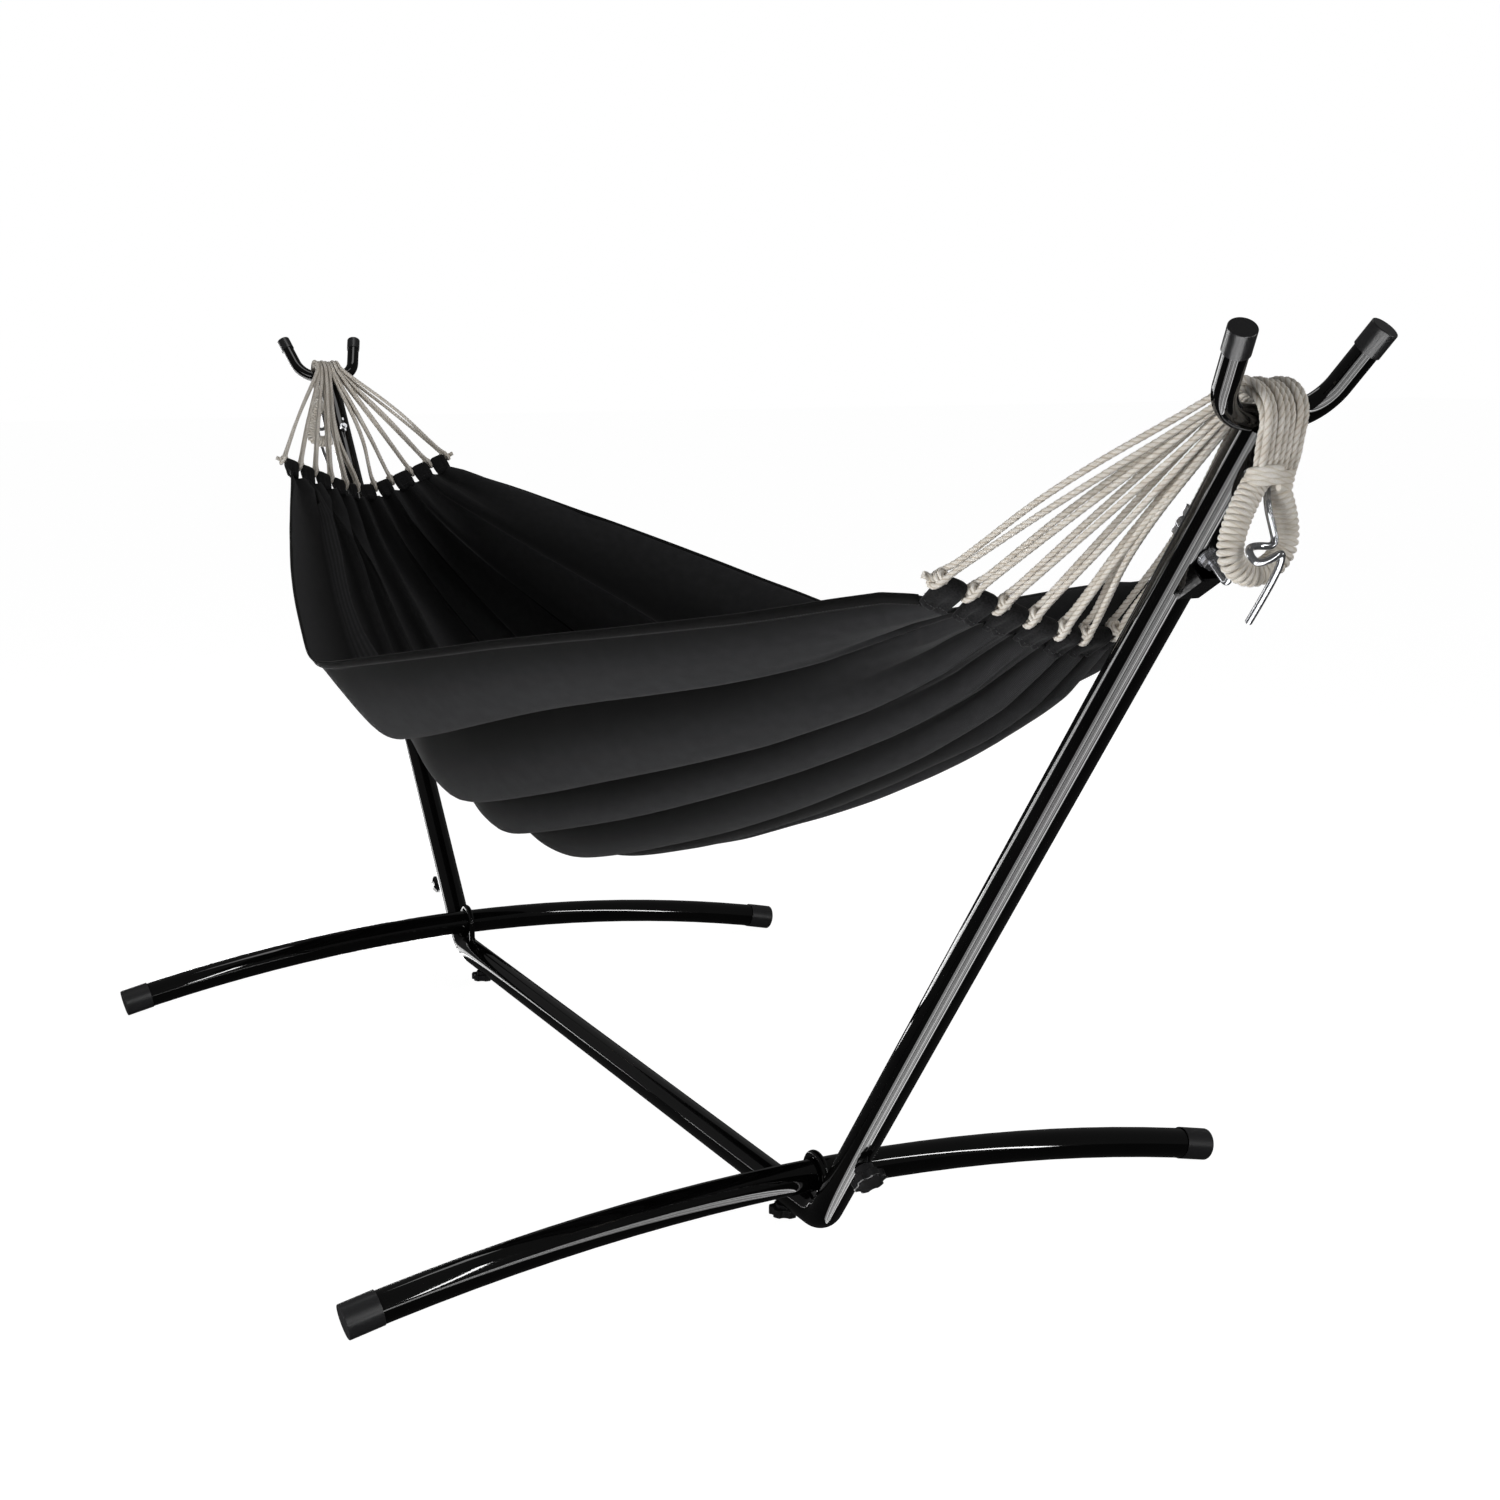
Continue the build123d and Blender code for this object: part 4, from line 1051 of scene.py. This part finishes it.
def tab_points(number):
    """Rings of one tab, from one slot to the next, and its seam line, at the right end."""
    low = LOOP_Y[number] + LOOP_ROOM / 2
    high = LOOP_Y[number + 1] - LOOP_ROOM / 2
    middle = (low + high) / 2
    cord = hem_point(middle)
    along = (hem_point(middle + 0.001) - hem_point(middle - 0.001)).normalized()
    seam = Vector(hem_end((middle + HEM_HALF) / (2 * HEM_HALF)))
    down = seam - cord
    down = down - along * down.dot(along)
    reach = down.length + TAB_OVERLAP
    down.normalize()
    face = along.cross(down)
    half_width = (high - low) / along.y / 2
    rings, seams = [], ([], [])
    for station in range(TAB_STATIONS):
        q = -1 + 2 * station / (TAB_STATIONS - 1)
        q = math.copysign(abs(q) ** 0.8, q)
        full = max(0.0, 1 - abs(q) ** 5) ** 0.5
        gather = 0.0011 * math.sin(5.2 * q + 1.7 * number) + 0.0006 * math.sin(11 * q + 2.3 * number)
        ring = []
        for step in range(TAB_AROUND):
            turn = 2 * math.pi * step / TAB_AROUND
            share = (1 - math.cos(turn)) / 2
            depth = -TAB_TOP + (reach + TAB_TOP) * share
            if depth < 0:
                height = TAB_TOP * math.sqrt(max(0.0, 1 - (depth / TAB_TOP) ** 2))
            else:
                fall = min(1.0, depth / (reach * 0.75))
                height = TAB_TOP - (TAB_TOP - TAB_BASE) * eased(fall)
                height *= min(1.0, math.sqrt(max(0.0, (reach - depth) / 0.004)))
            height *= 0.30 + 0.70 * full
            depth += 0.0035 * (1 - full) * (1 - share)
            side_sign = 1 if math.sin(turn) >= 0 else -1
            lift = height * side_sign + gather * share * 1.6
            width = half_width * (1 - 0.06 * share + 0.10 * math.sin(math.pi * share))
            ring.append(cord + along * (q * width) + down * depth + face * lift)
        rings.append(ring)
        if abs(q) < 0.9:
            sewn = cord + along * (q * half_width) + down * (reach - SEAM_FROM_END)
            surface = TAB_BASE * (0.3 + 0.7 * full) + 0.0003
            for sign, row in zip((1, -1), seams):
                row.append(sewn + face * (sign * surface + gather * 1.4))
    return rings, seams


for end in ENDS:
    flip = FLIPS[end]
    points, faces, seam_lines = [], [], []
    for number in range(len(LOOP_Y) - 1):
        rings, seams = tab_points(number)
        base = len(points)
        for ring in rings:
            points += [flip @ p for p in ring]
        for i in range(TAB_STATIONS - 1):
            for j in range(TAB_AROUND):
                a, b = base + i * TAB_AROUND + j, base + i * TAB_AROUND + (j + 1) % TAB_AROUND
                faces.append((a, b, b + TAB_AROUND, a + TAB_AROUND))
        for first in (base, base + (TAB_STATIONS - 1) * TAB_AROUND):
            faces.append(tuple(range(first, first + TAB_AROUND)))
        seam_lines += [[flip @ p for p in row] for row in seams]
    tabs = shell(f"{end}_hem_tabs", points, faces, hem_canvas)
    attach(tabs, "hammock")
    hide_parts(f"{end}_hem")
    seam = sew(f"{end}_hem_stitches", seam_lines, SEAM_PITCH, thread_black)
    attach(seam, "hammock")
